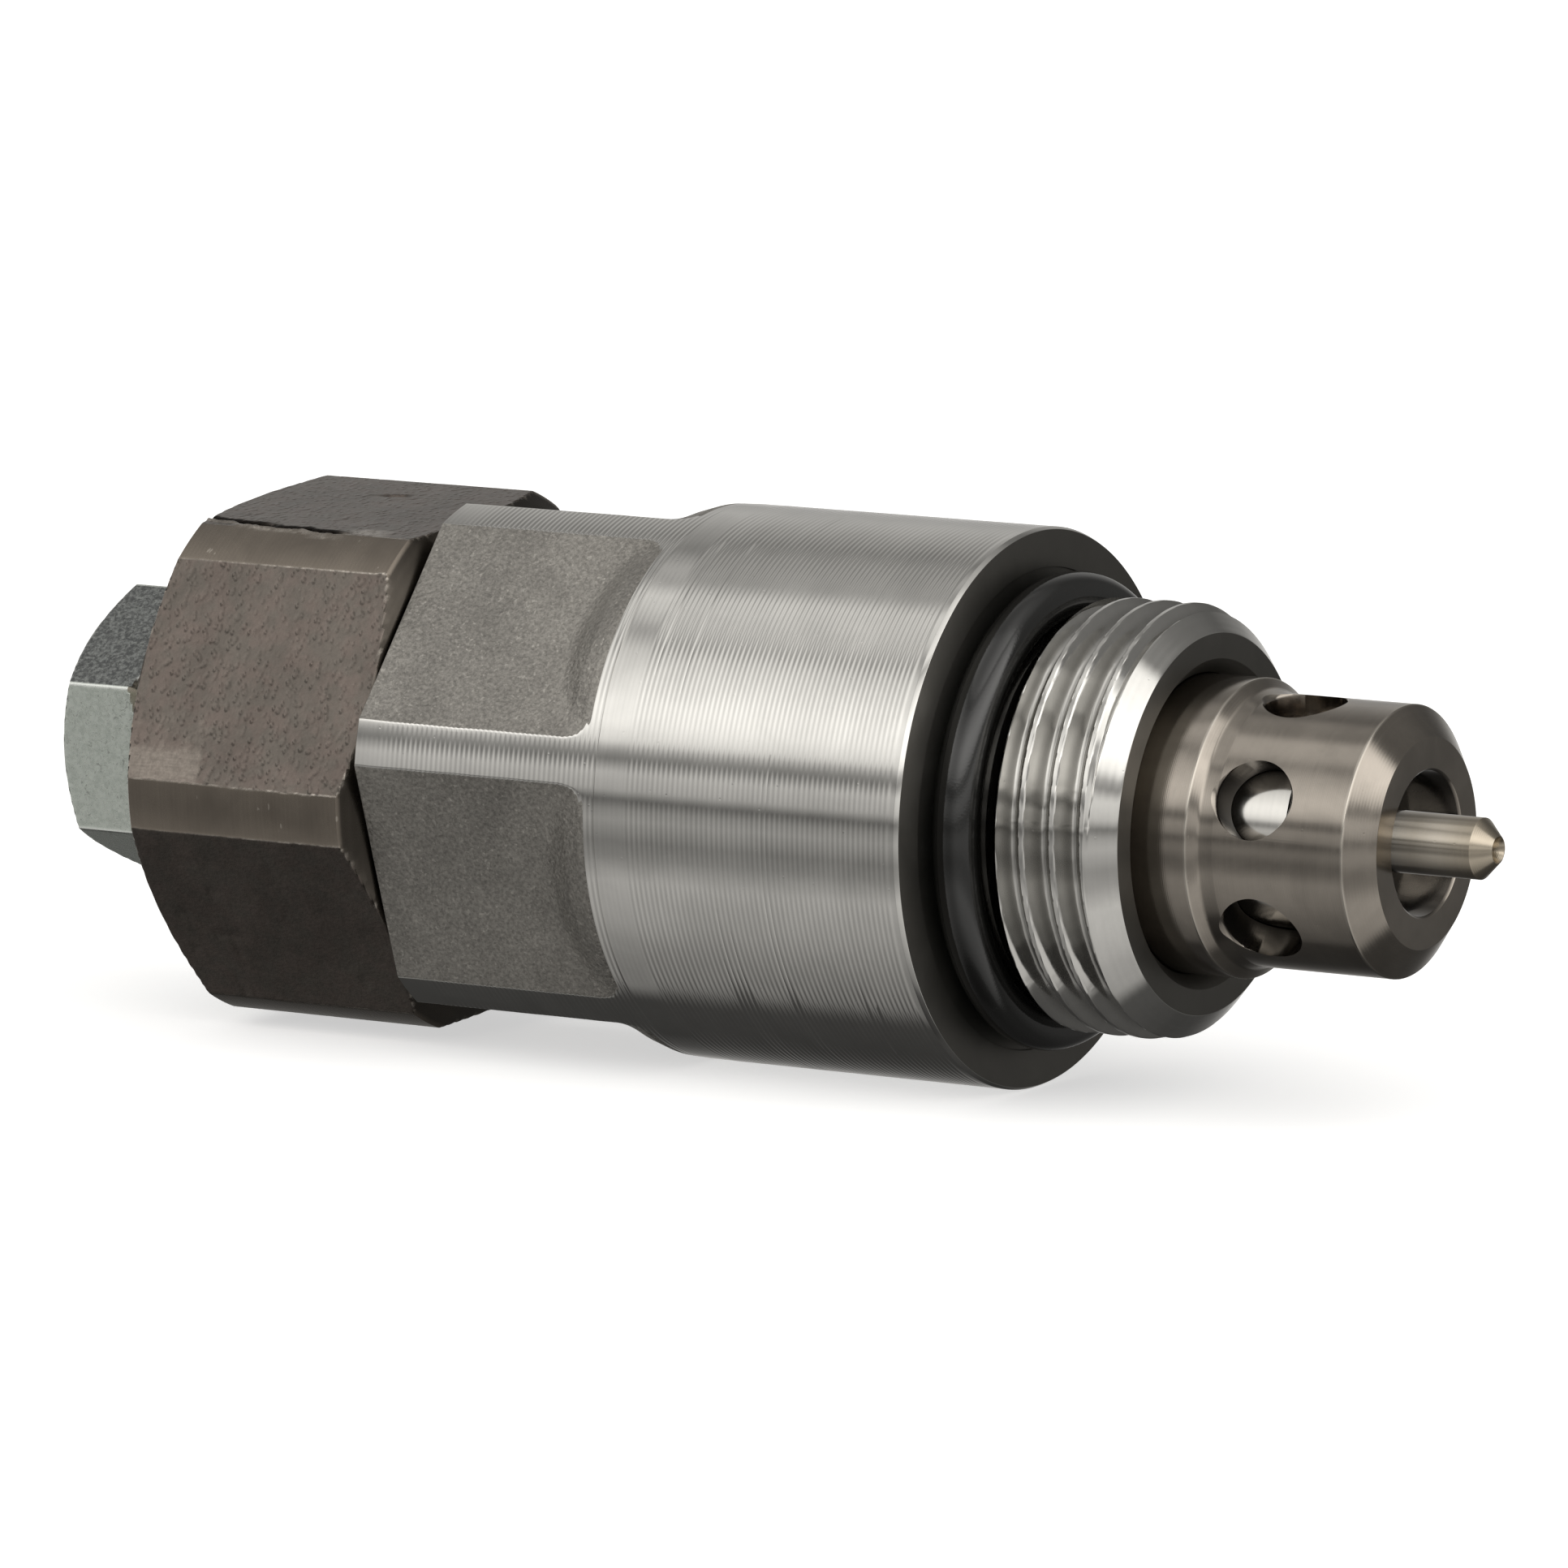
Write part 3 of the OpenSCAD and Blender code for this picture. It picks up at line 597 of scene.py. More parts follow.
# ---------------------------------------------------------------- valve body
def build_body():
    half = 30 - math.degrees(math.acos(BODY_APOTHEM / BODY_STRIP_R))
    phis = hex_angles(BODY_TURN, half)
    delta = to_flat(phis, BODY_TURN)
    flat = BODY_APOTHEM / np.cos(np.radians(delta))

    rear = [BODY_REAR, BODY_REAR + 0.04, BODY_REAR + 0.12]
    row = FEED / 4
    hexes = np.arange(BODY_REAR + 0.4, HEX_END, row)
    blend = np.arange(HEX_END, FLANGE_REAR - 0.05, row)
    step = [FLANGE_REAR - 0.03, FLANGE_REAR + 0.03]
    strip = np.arange(FLANGE_REAR + 0.15, GROOVES_REAR, 0.15)
    grooved = np.arange(GROOVES_REAR, -0.5, row)
    outer = np.concatenate([rear, hexes, blend, step, strip, grooved])
    x = outer[:, None] * np.ones(len(phis))
    pts = polar(x, 16.5, phis[None, :]).reshape(-1, 3)

    shoulder_x = [-40, HEX_END, -26.4, -25.2, -24.1, -22.9, FLANGE_REAR, 0]
    shoulder_r = [12.0, 15.2, 15.8, 16.5, 17.05, 17.42, FLANGE_R, FLANGE_R]
    shoulder = np.interp(x, shoulder_x, shoulder_r)
    skin = flat[None, :] + 0.010 * fbm(pts * 0.9, 3).reshape(x.shape)
    skin = skin + 0.02 * fbm(pts * 0.25, 9).reshape(x.shape)
    skin = smax(skin, shoulder, 0.55)
    hex_turned = np.full(x.shape, BODY_STRIP_R)
    hex_turned += 0.010 * np.sin(2 * np.pi * x / FEED) * smooth(x, BODY_REAR + 1, BODY_REAR + 4)
    hexr = smin(skin, hex_turned, 0.03)
    lead = np.interp(outer, [BODY_REAR, BODY_REAR + 0.04, BODY_REAR + 0.12], [0.22, 0.08, 0.0])[:, None]
    hexr = hexr - lead

    # Turned flange with its feed marks, uneven from groove to groove
    number = np.floor((x - GROOVES_REAR) / FEED).astype(int)
    u = (x - GROOVES_REAR) / FEED - number
    depth = rng.uniform(0.014, 0.0175, 80)[np.clip(number, 0, 79)]
    drift = 1 + 0.06 * value_noise(polar(x * 0.4, 1.6, phis[None, :]).reshape(-1, 3), 21).reshape(x.shape)
    marks = depth * drift * (1 - (2 * u - 1) ** 2)
    marks = np.where((x > GROOVES_REAR) & (x < -0.6), marks, 0)
    fine = 0.0025 * np.sin(2 * np.pi * x / 0.31)
    flange = FLANGE_R - 0.012 - marks - np.where(x < GROOVES_REAR, fine + 0.0025, 0)
    on_flange = (x > FLANGE_REAR).astype(float)
    r = np.where(on_flange > 0, flange, hexr)
    turned = np.where(on_flange > 0, 1.0, np.clip(0.5 + (skin - hex_turned) / 0.06, 0, 1))

    rings = Rings(len(phis), "turned", "faced")
    rings.add(x, r, turned=turned)
    front = [(-0.28, FLANGE_R - 0.012, 0.04), (0, FLANGE_R - 0.16, 0.04), (0, RING_RECESS_R, 0.03),
             (-RING_RECESS, RING_RECESS_R, 0.03), (-RING_RECESS, NECK_R, 0.25),
             (THREAD_START - THREAD_R + NECK_R, NECK_R, 0.25)]
    front = [(-0.6, FLANGE_R - 0.012, 0), *front, (THREAD_START - 0.1, THREAD_R - 0.1, 0)]
    prof = soften(front, 0.05)[1:]
    # The outline's closing segment isn't wanted, so only the run along the front is kept
    px, pr = np.array([p for p in prof if p[0] > -0.55]).T
    rings.add(px, pr, turned=1.0, faced=(pr < FLANGE_R - 0.17) & (px < 0.3))

    # Thread: the envelope cut by a helical groove
    tx = np.arange(THREAD_START - 0.75, BODY_FRONT - 0.03, 0.045)
    X = tx[:, None] * np.ones(len(phis))
    env = np.minimum(NECK_R + (X - (THREAD_START - THREAD_R + NECK_R)), THREAD_R)
    slope = (THREAD_R - FACE_R) / (BODY_FRONT - THREAD_END)
    env = smin(env, THREAD_R - (X - THREAD_END) * slope, 0.05)
    turn = (X - THREAD_PHASE + THREAD_PITCH * phis[None, :] / 360) / THREAD_PITCH
    v = np.abs(turn - np.round(turn))
    h = 0.866 * THREAD_PITCH
    flank = THREAD_R - np.clip(v - 0.0625, 0, None) * THREAD_PITCH * math.tan(math.radians(60))
    root = THREAD_R - 0.66 * h
    cut = smax(flank, np.full_like(flank, root), 0.42)
    cut = cut + 1.5 * smooth(X, 10.75, 11.3)
    burr = 0.02 * fbm(polar(X, THREAD_R, phis[None, :]).reshape(-1, 3) * 1.3, 31).reshape(X.shape)
    tr = smin(env, cut + burr, 0.07)
    keep = tx > THREAD_START - 0.7
    # The thread roots lean part way to the dark face finish: painted shade in the grooves
    rings.add(X[keep], tr[keep], turned=1.0, faced=0.35 * smooth(env - tr, 0.35, 0.9)[keep])

    mouth = BODY_FRONT - (MOUTH_R - BORE_R)
    inner = [(BODY_FRONT, FACE_R, 0.06), (BODY_FRONT, MOUTH_R, 0.08), (mouth, BORE_R, 0.05),
             (8.05, BORE_R, 0), (8.05, 9.9, 0), (6.75, 9.9, 0), (6.75, BORE_R, 0),
             (-10, BORE_R, 0), (-10, 6.8, 0.1), (-11.5, 6.8, 0), (-11.5, 8.2, 0), (-19, 8.2, 0),
             (-19, 9.5, 0), (-29, 9.5, 0), (-30, 12.5, 0), (BODY_REAR, 12.5, 0)]
    px, pr = np.array(soften([(BODY_FRONT - 0.05, FACE_R + 0.05, 0)] + inner, 0.0)[1:]).T
    rings.add(px, pr, turned=1.0, faced=(px > mouth - 0.1) & (pr < FACE_R - 0.02))
    full = rings.full()
    return ring_grid("valve_body_machined", full.pop("x"), full.pop("r"), phis, 16.0, full)


finish_piece(build_body(), "body", MATERIALS["body_steel"], ["valve_body"])


# ---------------------------------------------------------------- adjuster plug
def build_plug():
    half = 30 - math.degrees(math.acos(PLUG_APOTHEM / PLUG_STRIP_R))
    edge_phi = PLUG_TURN + 60 + half
    phis = hex_angles(PLUG_TURN, half, [(edge_phi + 0.1, edge_phi + 7.0, 0.3), (92.0, 99.2, 0.45)])
    delta = to_flat(phis, PLUG_TURN)
    flat = PLUG_APOTHEM / np.cos(np.radians(delta))
    rear, front = PLUG_REAR + 2.5, BODY_REAR - 0.2
    ends = np.array([0, 0.02, 0.06, 0.12, 0.25, 0.4, 0.55, 0.7, 0.85, 0.95, 1.05, 1.15, 1.3])
    outer = np.concatenate([rear + ends, np.arange(rear + 1.5, front - 1.4, 0.17), front - ends[::-1]])
    x = outer[:, None] * np.ones(len(phis))
    pts = polar(x, 16.5, phis[None, :]).reshape(-1, 3)
    bumps = fbm(pts * 1.1, 5).reshape(x.shape)
    waves = fbm(pts * 0.22, 15).reshape(x.shape)
    pits = np.clip(fbm(pts * 0.9, 25).reshape(x.shape) - 0.32, 0, 1)
    skin = flat[None, :] + 0.012 * bumps + 0.03 * waves - 0.10 * pits

    # Torn edge above the upper corner strip: two ragged cracks with a lifted lip, and a dent beyond them
    off = (phis[None, :] - edge_phi) * math.radians(1) * PLUG_STRIP_R * np.ones(x.shape)
    along = x - rear
    wander = 0.30 * fbm(np.stack([outer * 0.9, outer * 0, outer * 0], -1), 61)[:, None]
    jag = 0.12 * fbm(np.stack([outer * 3.1, outer * 0, outer * 0], -1), 71)[:, None]
    ragged = 0.3 * fbm(pts * 1.7, 101).reshape(x.shape)
    torn, lifted = np.zeros(x.shape), np.zeros(x.shape)
    cracks = ((-1.0, 6.5, 1.30, -0.06, 0.62), (3.0, 12.5, 0.85, -0.045, 0.50))
    for start, end, place, drift, depth in cracks:
        reach = smooth(along, start, start + 1.0) * smooth(along, end, end - 2.0)
        line = place + drift * along + wander + jag
        skin = skin - depth * reach * np.exp(-((off - line) / 0.19) ** 2)
        skin = skin + 0.14 * reach * np.exp(-((off - line + 0.45) / 0.20) ** 2)
        torn = np.maximum(torn, reach * smooth(np.abs(off - line - 0.12) + ragged, 0.46, 0.34))
        lifted = np.maximum(lifted, reach * smooth(np.abs(off - line + 0.52), 0.30, 0.18))
    scuff = smooth(np.abs(along - 13.2), 2.2, 0.6) * smooth(off, 0.0, 0.3) * smooth(off, 1.9, 1.1)
    skin = skin - 0.05 * scuff * np.clip(fbm(pts * 2.2, 81).reshape(x.shape) + 0.1, 0, 1)
    dent = np.exp(-(((x + 48.4) / 0.75) ** 2 + ((phis[None, :] - 96.0 - 0.8 * (x + 48.4)) / 0.75) ** 2))
    skin = skin - 0.34 * dent

    strip_r = PLUG_STRIP_R - 0.004 + 0.003 * np.sin(2 * np.pi * x / 0.3)
    r = smin(skin, strip_r, 0.05)
    cone = PLUG_STRIP_R - 1.9 + np.minimum(x - rear, front - x) * 1.9 / 1.0
    r = smin(r, cone, 0.08)
    lip = np.interp(np.minimum(outer - rear, front - outer), [0, 0.02, 0.06], [0.07, 0.03, 0.0])[:, None]
    r = r - lip
    turned = np.clip(0.5 + (skin - strip_r) / 0.08, 0, 1)
    turned = np.maximum(turned, smooth(skin - cone, -0.02, 0.02))
    brink = np.minimum(np.abs(skin - strip_r), np.abs(np.minimum(skin, strip_r) - cone))
    brink = np.where(cone < np.minimum(skin, strip_r) - 0.03, 1.0, brink)
    # edge: painted highlight along the edges between flats, strips and chamfers and on the lifted lip; the
    # scuff is brightened too
    edge = smooth(brink, 0.035, 0.012) * (0.35 + 0.65 * smooth(x, rear + 3, front - 2)) + 0.7 * scuff
    edge = np.maximum(edge, 0.8 * lifted)
    low_edge = PLUG_TURN + half
    rubbed = smooth(phis[None, :], low_edge + 7.4, low_edge + 6.4) * (phis[None, :] > low_edge - 0.1)
    patch = fbm(pts * 1.6, 91).reshape(x.shape) - 0.05 * np.abs(phis[None, :] - low_edge - 10)
    rubbed = rubbed * smooth(along, 6.3, 6.0) + 0.45 * smooth(patch - 0.1 * np.abs(along - 4), -0.2, 0.3)

    rear_face = [(PLUG_REAR, 5.15), (PLUG_REAR, 7.75), (PLUG_REAR + 0.06, 7.9), (PLUG_REAR + 0.2, 8.0),
                 (rear - 0.15, 8.0), (rear - 0.04, 8.04), (rear, 8.15)]
    inside = [(front, 12.6), (front, 12.45), (-31.5, 12.45), (-30, 9.45), (-26, 9.45), (-26, 7.7),
              (-23.6, 7.7), (-23.6, 9.45), (-20, 9.45), (-19.2, 8.15), (-18.52, 8.15), (-18.52, 6.2),
              (-50.5, 6.2), (-50.5, SCREW_BORE_R), (PLUG_REAR + 0.1, SCREW_BORE_R)]
    rings = Rings(len(phis), "turned", "edge", "rubbed", "torn")
    rings.add(*np.array(rear_face).T, turned=1.0)
    rings.add(x, r, turned=turned, edge=edge, rubbed=rubbed, torn=torn)
    rings.add(*np.array(inside).T, turned=1.0)
    full = rings.full()
    # shaded: painted shadow on the front chamfer next to the body
    full["shaded"] = smooth(full["x"], front - 1.0, front - 0.85)
    return ring_grid("adjuster_plug_machined", full.pop("x"), full.pop("r"), phis, 20.0, full)


finish_piece(build_plug(), "body", MATERIALS["phosphated_steel"], ["adjuster_plug"])


# ---------------------------------------------------------------- lock nut and washer
def build_nut():
    x0, x1 = NUT_LO[0], NUT_HI[0]
    angles = sorted(set(np.round(np.concatenate([
        np.linspace(-30, 30, 31), [-0.25, -0.6, 0.25, 0.6, -1.1, 1.1]]), 5)))[:-1]
    phis = np.concatenate([NUT_TURN + 60 * k + np.array(angles) for k in range(6)])
    delta = to_flat(phis, NUT_TURN)
    corner = NUT_APOTHEM / math.cos(math.radians(30))
    flat = NUT_APOTHEM / np.cos(np.radians(delta))
    flat = smin(flat, np.full_like(flat, corner - 0.03), 0.10)
    ends = np.array([0, 0.015, 0.05, 0.1, 0.2, 0.35, 0.5, 0.65, 0.8, 0.95, 1.1, 1.3])
    outer = np.concatenate([x0 + ends, np.arange(x0 + 1.6, x1 - 1.4, 0.3), x1 - ends[::-1]])
    x = outer[:, None] * np.ones(len(phis))
    cone = NUT_APOTHEM - 0.35 + np.minimum(x - x0, x1 - x) / math.tan(math.radians(30))
    r = smin(flat[None, :] * np.ones(x.shape), cone, 0.10)
    r = r - np.interp(np.minimum(outer - x0, x1 - outer), [0, 0.015, 0.05], [0.08, 0.03, 0.0])[:, None]
    bore = np.array([(x1, SCREW_BORE_R + 0.4), (x1 - 0.4, SCREW_BORE_R),
                     (x0 + 0.4, SCREW_BORE_R), (x0, SCREW_BORE_R + 0.4)])
    # One flat is darker and mottled, and the corners and chamfer rims get a painted highlight
    facet = NUT_TURN + 30
    dull = smooth(np.abs(phis - facet), 29.6, 28.9)[None, :]
    edge = 0.8 * smooth(np.abs(delta), 29.0, 29.8)[None, :] * np.ones(x.shape)
    edge = np.maximum(edge, 0.5 * smooth(np.abs(flat[None, :] - cone), 0.06, 0.02))
    rings = Rings(len(phis), "dull", "edge")
    rings.add(x, r, dull=dull, edge=edge)
    rings.add(*bore.T, dull=dull)
    full = rings.full()
    return ring_grid("lock_nut_hex", full.pop("x"), full.pop("r"), phis, 24.0, full)


finish_piece(build_nut(), "lock_nut", MATERIALS["zinc_plate"], ["lock_nut"])
washer = revolve("lock_nut_seal_ring", [
    (SEAL_LO[0], 5.06), (SEAL_LO[0], SEAL_HI[1], 0.25), (SEAL_HI[0], SEAL_HI[1], 0.25), (SEAL_HI[0], 5.06)])
seal_slot = slots["lock_nut_seal"]
finish_piece(washer, "seal_washer", MATERIALS[seal_slot], ["lock_nut_seal"])


# ---------------------------------------------------------------- sleeve
def boolean_cut(target, cutters):
    """Takes the cutters out of the target's mesh and removes them."""
    for c in cutters:
        mod = target.modifiers.new("cut", "BOOLEAN")
        mod.operation, mod.solver, mod.object = "DIFFERENCE", "EXACT", c
    deps = bpy.context.evaluated_depsgraph_get()
    mesh = bpy.data.meshes.new_from_object(target.evaluated_get(deps))
    target.modifiers.clear()
    old = target.data
    target.data = mesh
    bpy.data.meshes.remove(old)
    for c in cutters:
        data = c.data
        bpy.data.objects.remove(c)
        bpy.data.meshes.remove(data)
    mesh.polygons.foreach_set("use_smooth", [True] * len(mesh.polygons))
    mesh.set_sharp_from_angle(angle=math.radians(25))


def port_cutter(name, phi):
    """Round cutter along the radius at phi, flared where it leaves the sleeve."""
    outline = [(5.4, PORT_R), (8.1, PORT_R), (8.22, 2.54), (8.32, 2.62), (8.42, 2.74), (9.6, 4.0)]
    rows, cols = len(outline), 72
    a = math.radians(phi)
    out = np.array([0, -math.cos(a), math.sin(a)])
    side = np.array([0, math.sin(a), math.cos(a)])
    pts, faces = [], []
    for height, r in outline:
        for j in range(cols):
            t = 2 * math.pi * j / cols
            pts.append(np.array([PORT_X, 0, 0]) + out * height + np.array([1, 0, 0]) * r * math.cos(t)
                       + side * r * math.sin(t))
    for i in range(0, (rows - 1) * cols, cols):
        for j in range(cols):
            n = (j + 1) % cols
            faces.append((i + j, i + n, i + cols + n, i + cols + j))
    faces.append(tuple(reversed(range(cols))))
    faces.append(tuple((rows - 1) * cols + j for j in range(cols)))
    cutter = to_mesh(name, pts, faces)
    bm = bmesh.new()
    bm.from_mesh(cutter.data)
    bmesh.ops.recalc_face_normals(bm, faces=bm.faces)
    bm.to_mesh(cutter.data)
    bm.free()
    return cutter


def build_sleeve():
    x0, x1 = SLEEVE_LO[0], SLEEVE_HI[0]
    obj = revolve("sleeve_ground", [
        (x0, 8.5), (x0, 9.25, 0.4), (2.3, 9.25, 0.05), (2.3, 7.6, 0), (5.6, 7.6, 0), (5.6, 9.25, 0.05),
        (6.75, 9.25, 0.05), (6.75, 8.5, 0), (10.6, 8.5, 0), (10.6, SEAT_LAND_R, 0.05),
        (15.15, SEAT_LAND_R, 0), (SEAT_LAND_X, SEAT_LAND_R, 0.10), (15.4, 9.135, 0), (15.85, 8.62, 0.5),
        (16.7, NOSE_LAND_R, 0.6), (25.45, NOSE_LAND_R, 0), (NOSE_LAND_X, NOSE_LAND_R, 0.10),
        (25.69, 8.278, 0), (x1, 6.5, 0.08), (x1, 4.60, 0.03), (x1 - 0.16, INLET_R, 0.03),
        (INLET_REAR, INLET_R, 0.05), (INLET_REAR, SLEEVE_BORE_R, 0.05), (0.5, SLEEVE_BORE_R, 0),
        (0.5, 8.5, 0)],
        count=288)
    step = 360 / PORT_COUNT
    boolean_cut(obj, [port_cutter(f"cutter_{k}", PORT_TURN + step * k) for k in range(PORT_COUNT)])
    spots = np.array([v.co[:] for v in obj.data.vertices]) / MM
    x, r = spots[:, 0], np.hypot(spots[:, 1], spots[:, 2])
    around = np.degrees(np.arctan2(spots[:, 2], -spots[:, 1]))
    sideways = r * np.sin(np.radians(to_flat(around, PORT_TURN - 30)))
    # bore_shade: painted shade on the walls of the cross holes, nearly none in the top one, and in the
    # bore. edge: painted highlight on the rims of the two lands
    in_port = (np.hypot(x - PORT_X, sideways) < PORT_R + 0.25) & (r > 6)
    top_port = np.abs(around - PORT_TURN - step) < 30
    in_bore = (r < SLEEVE_BORE_R + 0.1) & (x < x1 - 0.05)
    walls = smooth(r, 8.36, 8.20) * np.where(top_port, 0.08, 1.0)
    bore_shade = np.where(in_port, walls, 0.75 * in_bore)
    edge = np.zeros(len(x))
    for corner_x, corner_r in ((SEAT_LAND_X, SEAT_LAND_R), (NOSE_LAND_X, NOSE_LAND_R)):
        edge = np.maximum(edge, smooth(np.hypot(x - corner_x, r - corner_r), 0.13, 0.06))
    add_marks(obj.data, {"bore_shade": bore_shade, "edge": edge})
    return obj


finish_piece(build_sleeve(), "make_up_sleeve", MATERIALS["ground_steel"], ["sleeve"])

# ---------------------------------------------------------------- poppet, piston and flange ring
POPPET_R = POPPET_HI[1]
PIN_R, PIN_BORE_X, PIN_GUIDE_R, PIN_TIP = PISTON_HI[1], 20.6, 1.05, 1.05
front, rear = POPPET_HI[0], POPPET_LO[0]
poppet = revolve("main_poppet_ground", [
    (rear, 5.0, 0.1), (rear, POPPET_R, 0.4), (20.5, POPPET_R, 0.06), (front, 3.65, 0.06),
    (front, PIN_R + 0.05, 0.05), (PIN_BORE_X, PIN_R + 0.05, 0), (PIN_BORE_X, PIN_GUIDE_R, 0),
    (8.5, PIN_GUIDE_R, 0), (8.5, 5.0, 0.1)], count=200)
finish_piece(poppet, "main_poppet", MATERIALS["polished_steel"], ["main_poppet"])
tip = PISTON_HI[0]
piston = revolve("piston_pin", [
    (PISTON_LO[0], 0.5), (PISTON_LO[0], 1.0), (7.23, 1.0, 0.02), (7.23, 0.8, 0), (8.505, 0.8, 0),
    (8.505, 1.0, 0.02), (22.3, 1.0, 0.1), (22.7, PIN_R, 0.05), (tip - PIN_TIP, PIN_R, 0.02),
    (tip, 0.85, 0.03), (tip - 0.03, 0.80, 0.02), (tip - 0.30, 0.68, 0.05), (tip - 0.75, 0.5, 0.04)],
    count=120)
add_marks(piston.data, {"tip": [v.co.x > (tip - PIN_TIP - 0.01) * MM for v in piston.data.vertices]})
finish_piece(piston, "piston", PIN_STEEL, ["piston"])


def build_o_ring(name, node):
    lo, hi = mm_box(node)
    section = (hi[0] - lo[0]) / 2
    mean = hi[1] - section
    x = (hi[0] + lo[0]) / 2
    t = np.linspace(0, 2 * np.pi, 29)[:-1]
    count = 160
    phis = np.arange(count) * 360.0 / count
    xs = (x - section * np.cos(t))[:, None] * np.ones(count)
    rs = (mean + section * np.sin(t))[:, None] * np.ones(count)
    return ring_grid(name, xs, rs, phis, 60.0)


finish_piece(build_o_ring("flange_o_ring_seal", "flange_o_ring"), "body", MATERIALS["seal_rubber"],
             ["flange_o_ring"])


# ---------------------------------------------------------------- springs
def build_spring(name, node, wire, turns, rear_body, front_body):
    """Coil with ground ends. Its rear end follows one body and its front end another."""
    lo, hi = mm_box(node)
    mean = hi[1] - wire
    per_turn, around = 36, 12
    t = np.linspace(0, turns, int(turns * per_turn) + 1)
    closed, sink = 2 * wire * 1.02, 0.5 * wire
    run = hi[0] - lo[0] - 2 * (wire - sink) - 2 * closed
    along = np.interp(t, [0, 1, turns - 1, turns], [0, closed, closed + run, 2 * closed + run])
    along = lo[0] + wire - sink + along
    b = np.arange(around) * 2 * np.pi / around
    x = np.clip(along[:, None] + wire * np.sin(b), lo[0], hi[0])
    r = mean + wire * np.cos(b)
    a = (2 * np.pi * t)[:, None]
    pts = np.stack([x, r * np.cos(a), r * np.sin(a)], -1).reshape(-1, 3)
    obj = to_mesh(name, pts, tube_faces(len(t), around), 40.0)
    share = (pts[:, 0] - lo[0]) / (hi[0] - lo[0])
    finish_piece(obj, "body", MATERIALS["spring_steel"], [node])
    for end, body, weights in (("rear", rear_body, 1 - share), ("front", front_body, share)):
        if body == "body":
            continue
        group = obj.vertex_groups.new(name=end)
        for i, w in enumerate(weights):
            group.add([i], float(w), "REPLACE")
        hook = obj.modifiers.new(end, "HOOK")
        hook.object = frame["bodies"][body]
        hook.vertex_group = end
        hook.matrix_inverse = frame["bodies"][body].matrix_world.inverted()
    return obj


build_spring("sleeve_spring_coil", "sleeve_spring", 0.55, 5, "body", "make_up_sleeve")
build_spring("poppet_spring_coil", "poppet_spring", 0.5, 8, "body", "main_poppet")
build_spring("piston_spring_coil", "piston_spring", 0.25, 10, "body", "piston")
build_spring("pilot_spring_coil", "pilot_spring", 0.95, 7, "spring_seat", "pilot_poppet")


# ---------------------------------------------------------------- adjusting screw
def build_screw():
    """Threaded screw with a hex socket in its rear end."""
    lo, hi = SCREW_LO[0], SCREW_HI[0]
    radius, core = SCREW_HI[1], SCREW_HI[1] - 0.80
    phis = np.arange(144) * 2.5
    x = np.concatenate([[lo, lo + 0.04, lo + 0.12], np.arange(lo + 0.2, hi - 1.0, 0.09),
                        [hi - 1.0, hi - 0.5, hi - 0.04]])
    X = x[:, None] * np.ones(len(phis))
    turn = X / SCREW_PITCH + phis[None, :] / 360
    v = np.abs(turn - np.round(turn))
    groove = radius - np.clip(v - 0.08, 0, None) * SCREW_PITCH * math.tan(math.radians(60))
    groove = smax(groove, np.full_like(groove, core), 0.1)
    ends = np.minimum(core + (X - lo), radius - 1.05 + (hi - X))
    outer = smin(groove, ends, 0.05)
    hexagon = SOCKET_APOTHEM / np.cos(np.radians((phis % 60) - 30))
    wall = np.array([lo + 4.8, lo + 2.4, lo + 0.35, lo + 0.12])
    rows_x = [np.full(len(phis), lo + 5.0), *[np.full(len(phis), w) for w in wall], np.full(len(phis), lo)]
    rows_r = [np.full(len(phis), 0.6), *[hexagon for w in wall], hexagon + 0.14]
    rim = np.full(len(phis), radius - 0.85)
    xs = np.concatenate([rows_x, [np.full(len(phis), lo)], X, [np.full(len(phis), hi)]])
    rs = np.concatenate([rows_r, [rim], outer, [np.full(len(phis), 0.6)]])
    pts = polar(xs, rs, phis[None, :]).reshape(-1, 3)
    return to_mesh("adjusting_screw_threaded", pts, tube_faces(*xs.shape), 24.0)


screw_slot = slots["adjusting_screw"]
finish_piece(build_screw(), "adjusting_screw", MATERIALS[screw_slot], ["adjusting_screw"])

# ---------------------------------------------------------------- camera, light and floor
scene = bpy.context.scene
scene.view_settings.view_transform = "Standard"
scene.view_settings.look = "None"

# Fitted to the circles and hexes of the photograph. Distances are in flange radii, the focal length in
# pixels of a square frame.
AZIMUTH, ELEVATION = 31.039, 8.648
CAMERA_BACK, CAMERA_RIGHT, CAMERA_UP = 40.700, -0.9061, 0.0871
FOCAL_PIXELS, FRAME_PIXELS = 14189.9, 1932
azimuth, elevation = math.radians(AZIMUTH), math.radians(ELEVATION)
back = Vector((math.sin(azimuth) * math.cos(elevation), -math.cos(azimuth) * math.cos(elevation),
               math.sin(elevation)))
right = Vector((math.cos(azimuth), math.sin(azimuth), 0))
up = back.cross(right)
unit = FLANGE_R * MM
cam_data = bpy.data.cameras.new("camera")
cam_data.sensor_width = 36.0
cam_data.lens = FOCAL_PIXELS / FRAME_PIXELS * cam_data.sensor_width
cam_data.clip_start, cam_data.clip_end = 0.05, 20.0
camera = bpy.data.objects.new("camera", cam_data)
scene.collection.objects.link(camera)
camera.location = (back * CAMERA_BACK + right * CAMERA_RIGHT + up * CAMERA_UP) * unit
camera.rotation_mode = "QUATERNION"
camera.rotation_quaternion = (-back).to_track_quat("-Z", "Y")
scene.camera = camera

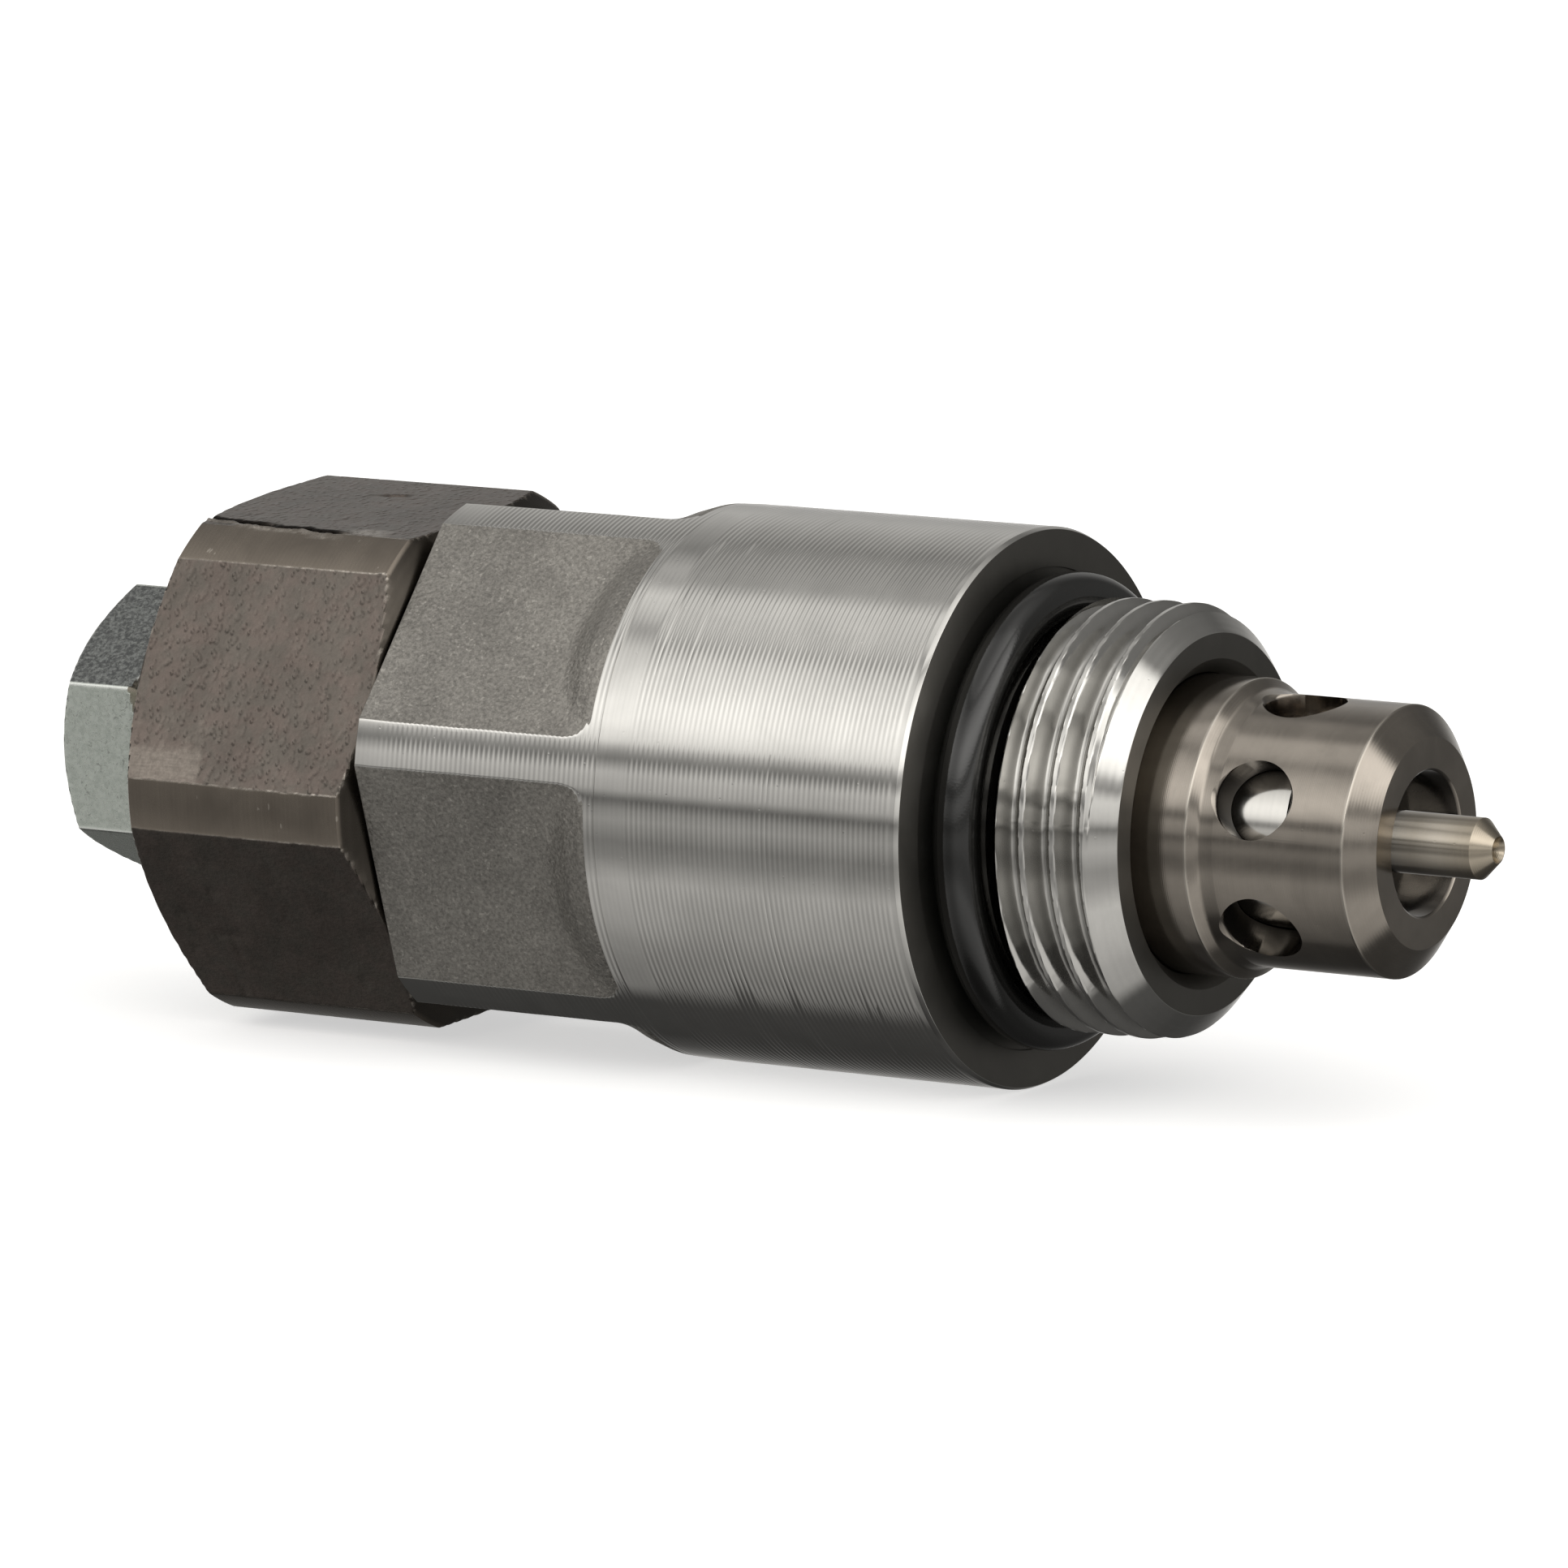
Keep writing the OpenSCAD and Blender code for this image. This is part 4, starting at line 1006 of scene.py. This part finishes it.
# Studio light: brightness by height (z of the direction) towards the camera side, behind on the left
# and behind on the right. Polished faces show it as the bands that run along them.
FRONT_LIGHT = [
    (-1.0, 0.05), (-0.92, 0.09), (-0.87, 0.24), (-0.70, 0.43), (-0.50, 0.54), (-0.37, 0.31),
    (-0.28, 0.26), (-0.15, 0.43), (-0.09, 0.36), (-0.03, 0.17), (0.03, 0.54), (0.14, 0.70),
    (0.215, 0.27), (0.26, 0.42), (0.32, 1.06), (0.42, 1.42), (0.53, 1.45), (0.66, 1.15), (0.75, 0.90),
    (0.81, 0.50), (0.86, 1.06), (1.0, 0.95)]
REAR_LEFT_LIGHT = [
    (-1.0, 0.10), (-0.83, 0.06), (-0.70, 0.05), (-0.57, 0.09), (-0.43, 0.19), (-0.32, 0.36), (-0.21, 0.68),
    (-0.09, 0.78), (0.03, 0.57), (0.15, 0.44), (0.38, 0.57), (0.53, 0.50), (0.66, 0.38), (0.76, 0.28),
    (0.83, 0.62), (0.86, 0.48), (1.0, 0.6)]
REAR_RIGHT_LIGHT = [
    (-1.0, 0.08), (-0.7, 0.07), (-0.4, 0.12), (0.0, 0.14), (0.4, 0.15), (0.65, 0.18), (0.85, 0.42),
    (1.0, 0.8)]
BRIGHTEST = 1.6


def light_ramp(g, height, steps):
    """Colour of the dome by height, from (height, brightness) steps."""
    ramp = g.add("ShaderNodeValToRGB", {"Fac": g.math("MULTIPLY_ADD", height, 0.5, 0.5)})
    stops = ramp.color_ramp.elements
    while len(stops) < len(steps):
        stops.new(0.5)
    for stop, (z, value) in zip(stops, steps):
        stop.position = z / 2 + 0.5
        v = value / BRIGHTEST
        stop.color = (v, v * 0.985, v * 0.955, 1)
    return ramp.outputs["Color"]


world = bpy.data.worlds.new("studio")
world.use_nodes = True
scene.world = world
g = Graph(world.node_tree)
direction = g.add("ShaderNodeTexCoord").outputs["Generated"]
axes = g.add("ShaderNodeSeparateXYZ", {0: direction})
side_x, side_y, height = axes.outputs[0], axes.outputs[1], axes.outputs[2]
front_light = light_ramp(g, height, FRONT_LIGHT)
rear_light = g.mix(g.remap(side_x, -0.25, 0.15), light_ramp(g, height, REAR_LEFT_LIGHT),
                   light_ramp(g, height, REAR_RIGHT_LIGHT))
to_right = g.math("MAXIMUM", side_x, 0.0)
behind = g.math("SUBTRACT", side_y, g.math("MULTIPLY", to_right, 0.4))
lit = g.mix(g.remap(behind, -0.04, 0.12), front_light, rear_light)
# The light falls off between the left end and the camera, which draws out the turning marks
fall = g.remap(side_x, -0.85, -0.20, 1.22, 0.74)
rise = g.remap(side_x, -0.10, 0.60, 0.0, 0.66)
far_left = g.remap(side_x, -0.99, -0.80, 0.30, 1.0)
level = g.math("MULTIPLY", g.math("ADD", fall, rise), far_left)
lit = g.scaled(lit, g.math("MULTIPLY", level, BRIGHTEST))
path = g.add("ShaderNodeLightPath")
seen = g.mix(path.outputs["Is Camera Ray"], lit, (1.0, 1.0, 1.0))
bg = g.add("ShaderNodeBackground", {"Color": seen, "Strength": 1.0})
g.add("ShaderNodeOutputWorld", {"Surface": bg.outputs[0]})

# Pale floor, just under the flange
bpy.ops.mesh.primitive_plane_add(size=6.0, location=(0, 0, -FLANGE_R * MM - 0.00002))
floor = bpy.context.object
floor.name = "floor"
mat, g = material("pale_floor")
diffuse = g.add("ShaderNodeBsdfDiffuse", {"Color": (0.85, 0.85, 0.85, 1)}).outputs[0]
glow = g.add("ShaderNodeEmission", {"Color": (1, 1, 1, 1), "Strength": 0.55}).outputs[0]
g.output(g.add("ShaderNodeAddShader", {0: diffuse, 1: glow}).outputs[0])
floor.data.materials.append(mat)
floor.visible_glossy = False
floor.visible_diffuse = False
floor.visible_shadow = False
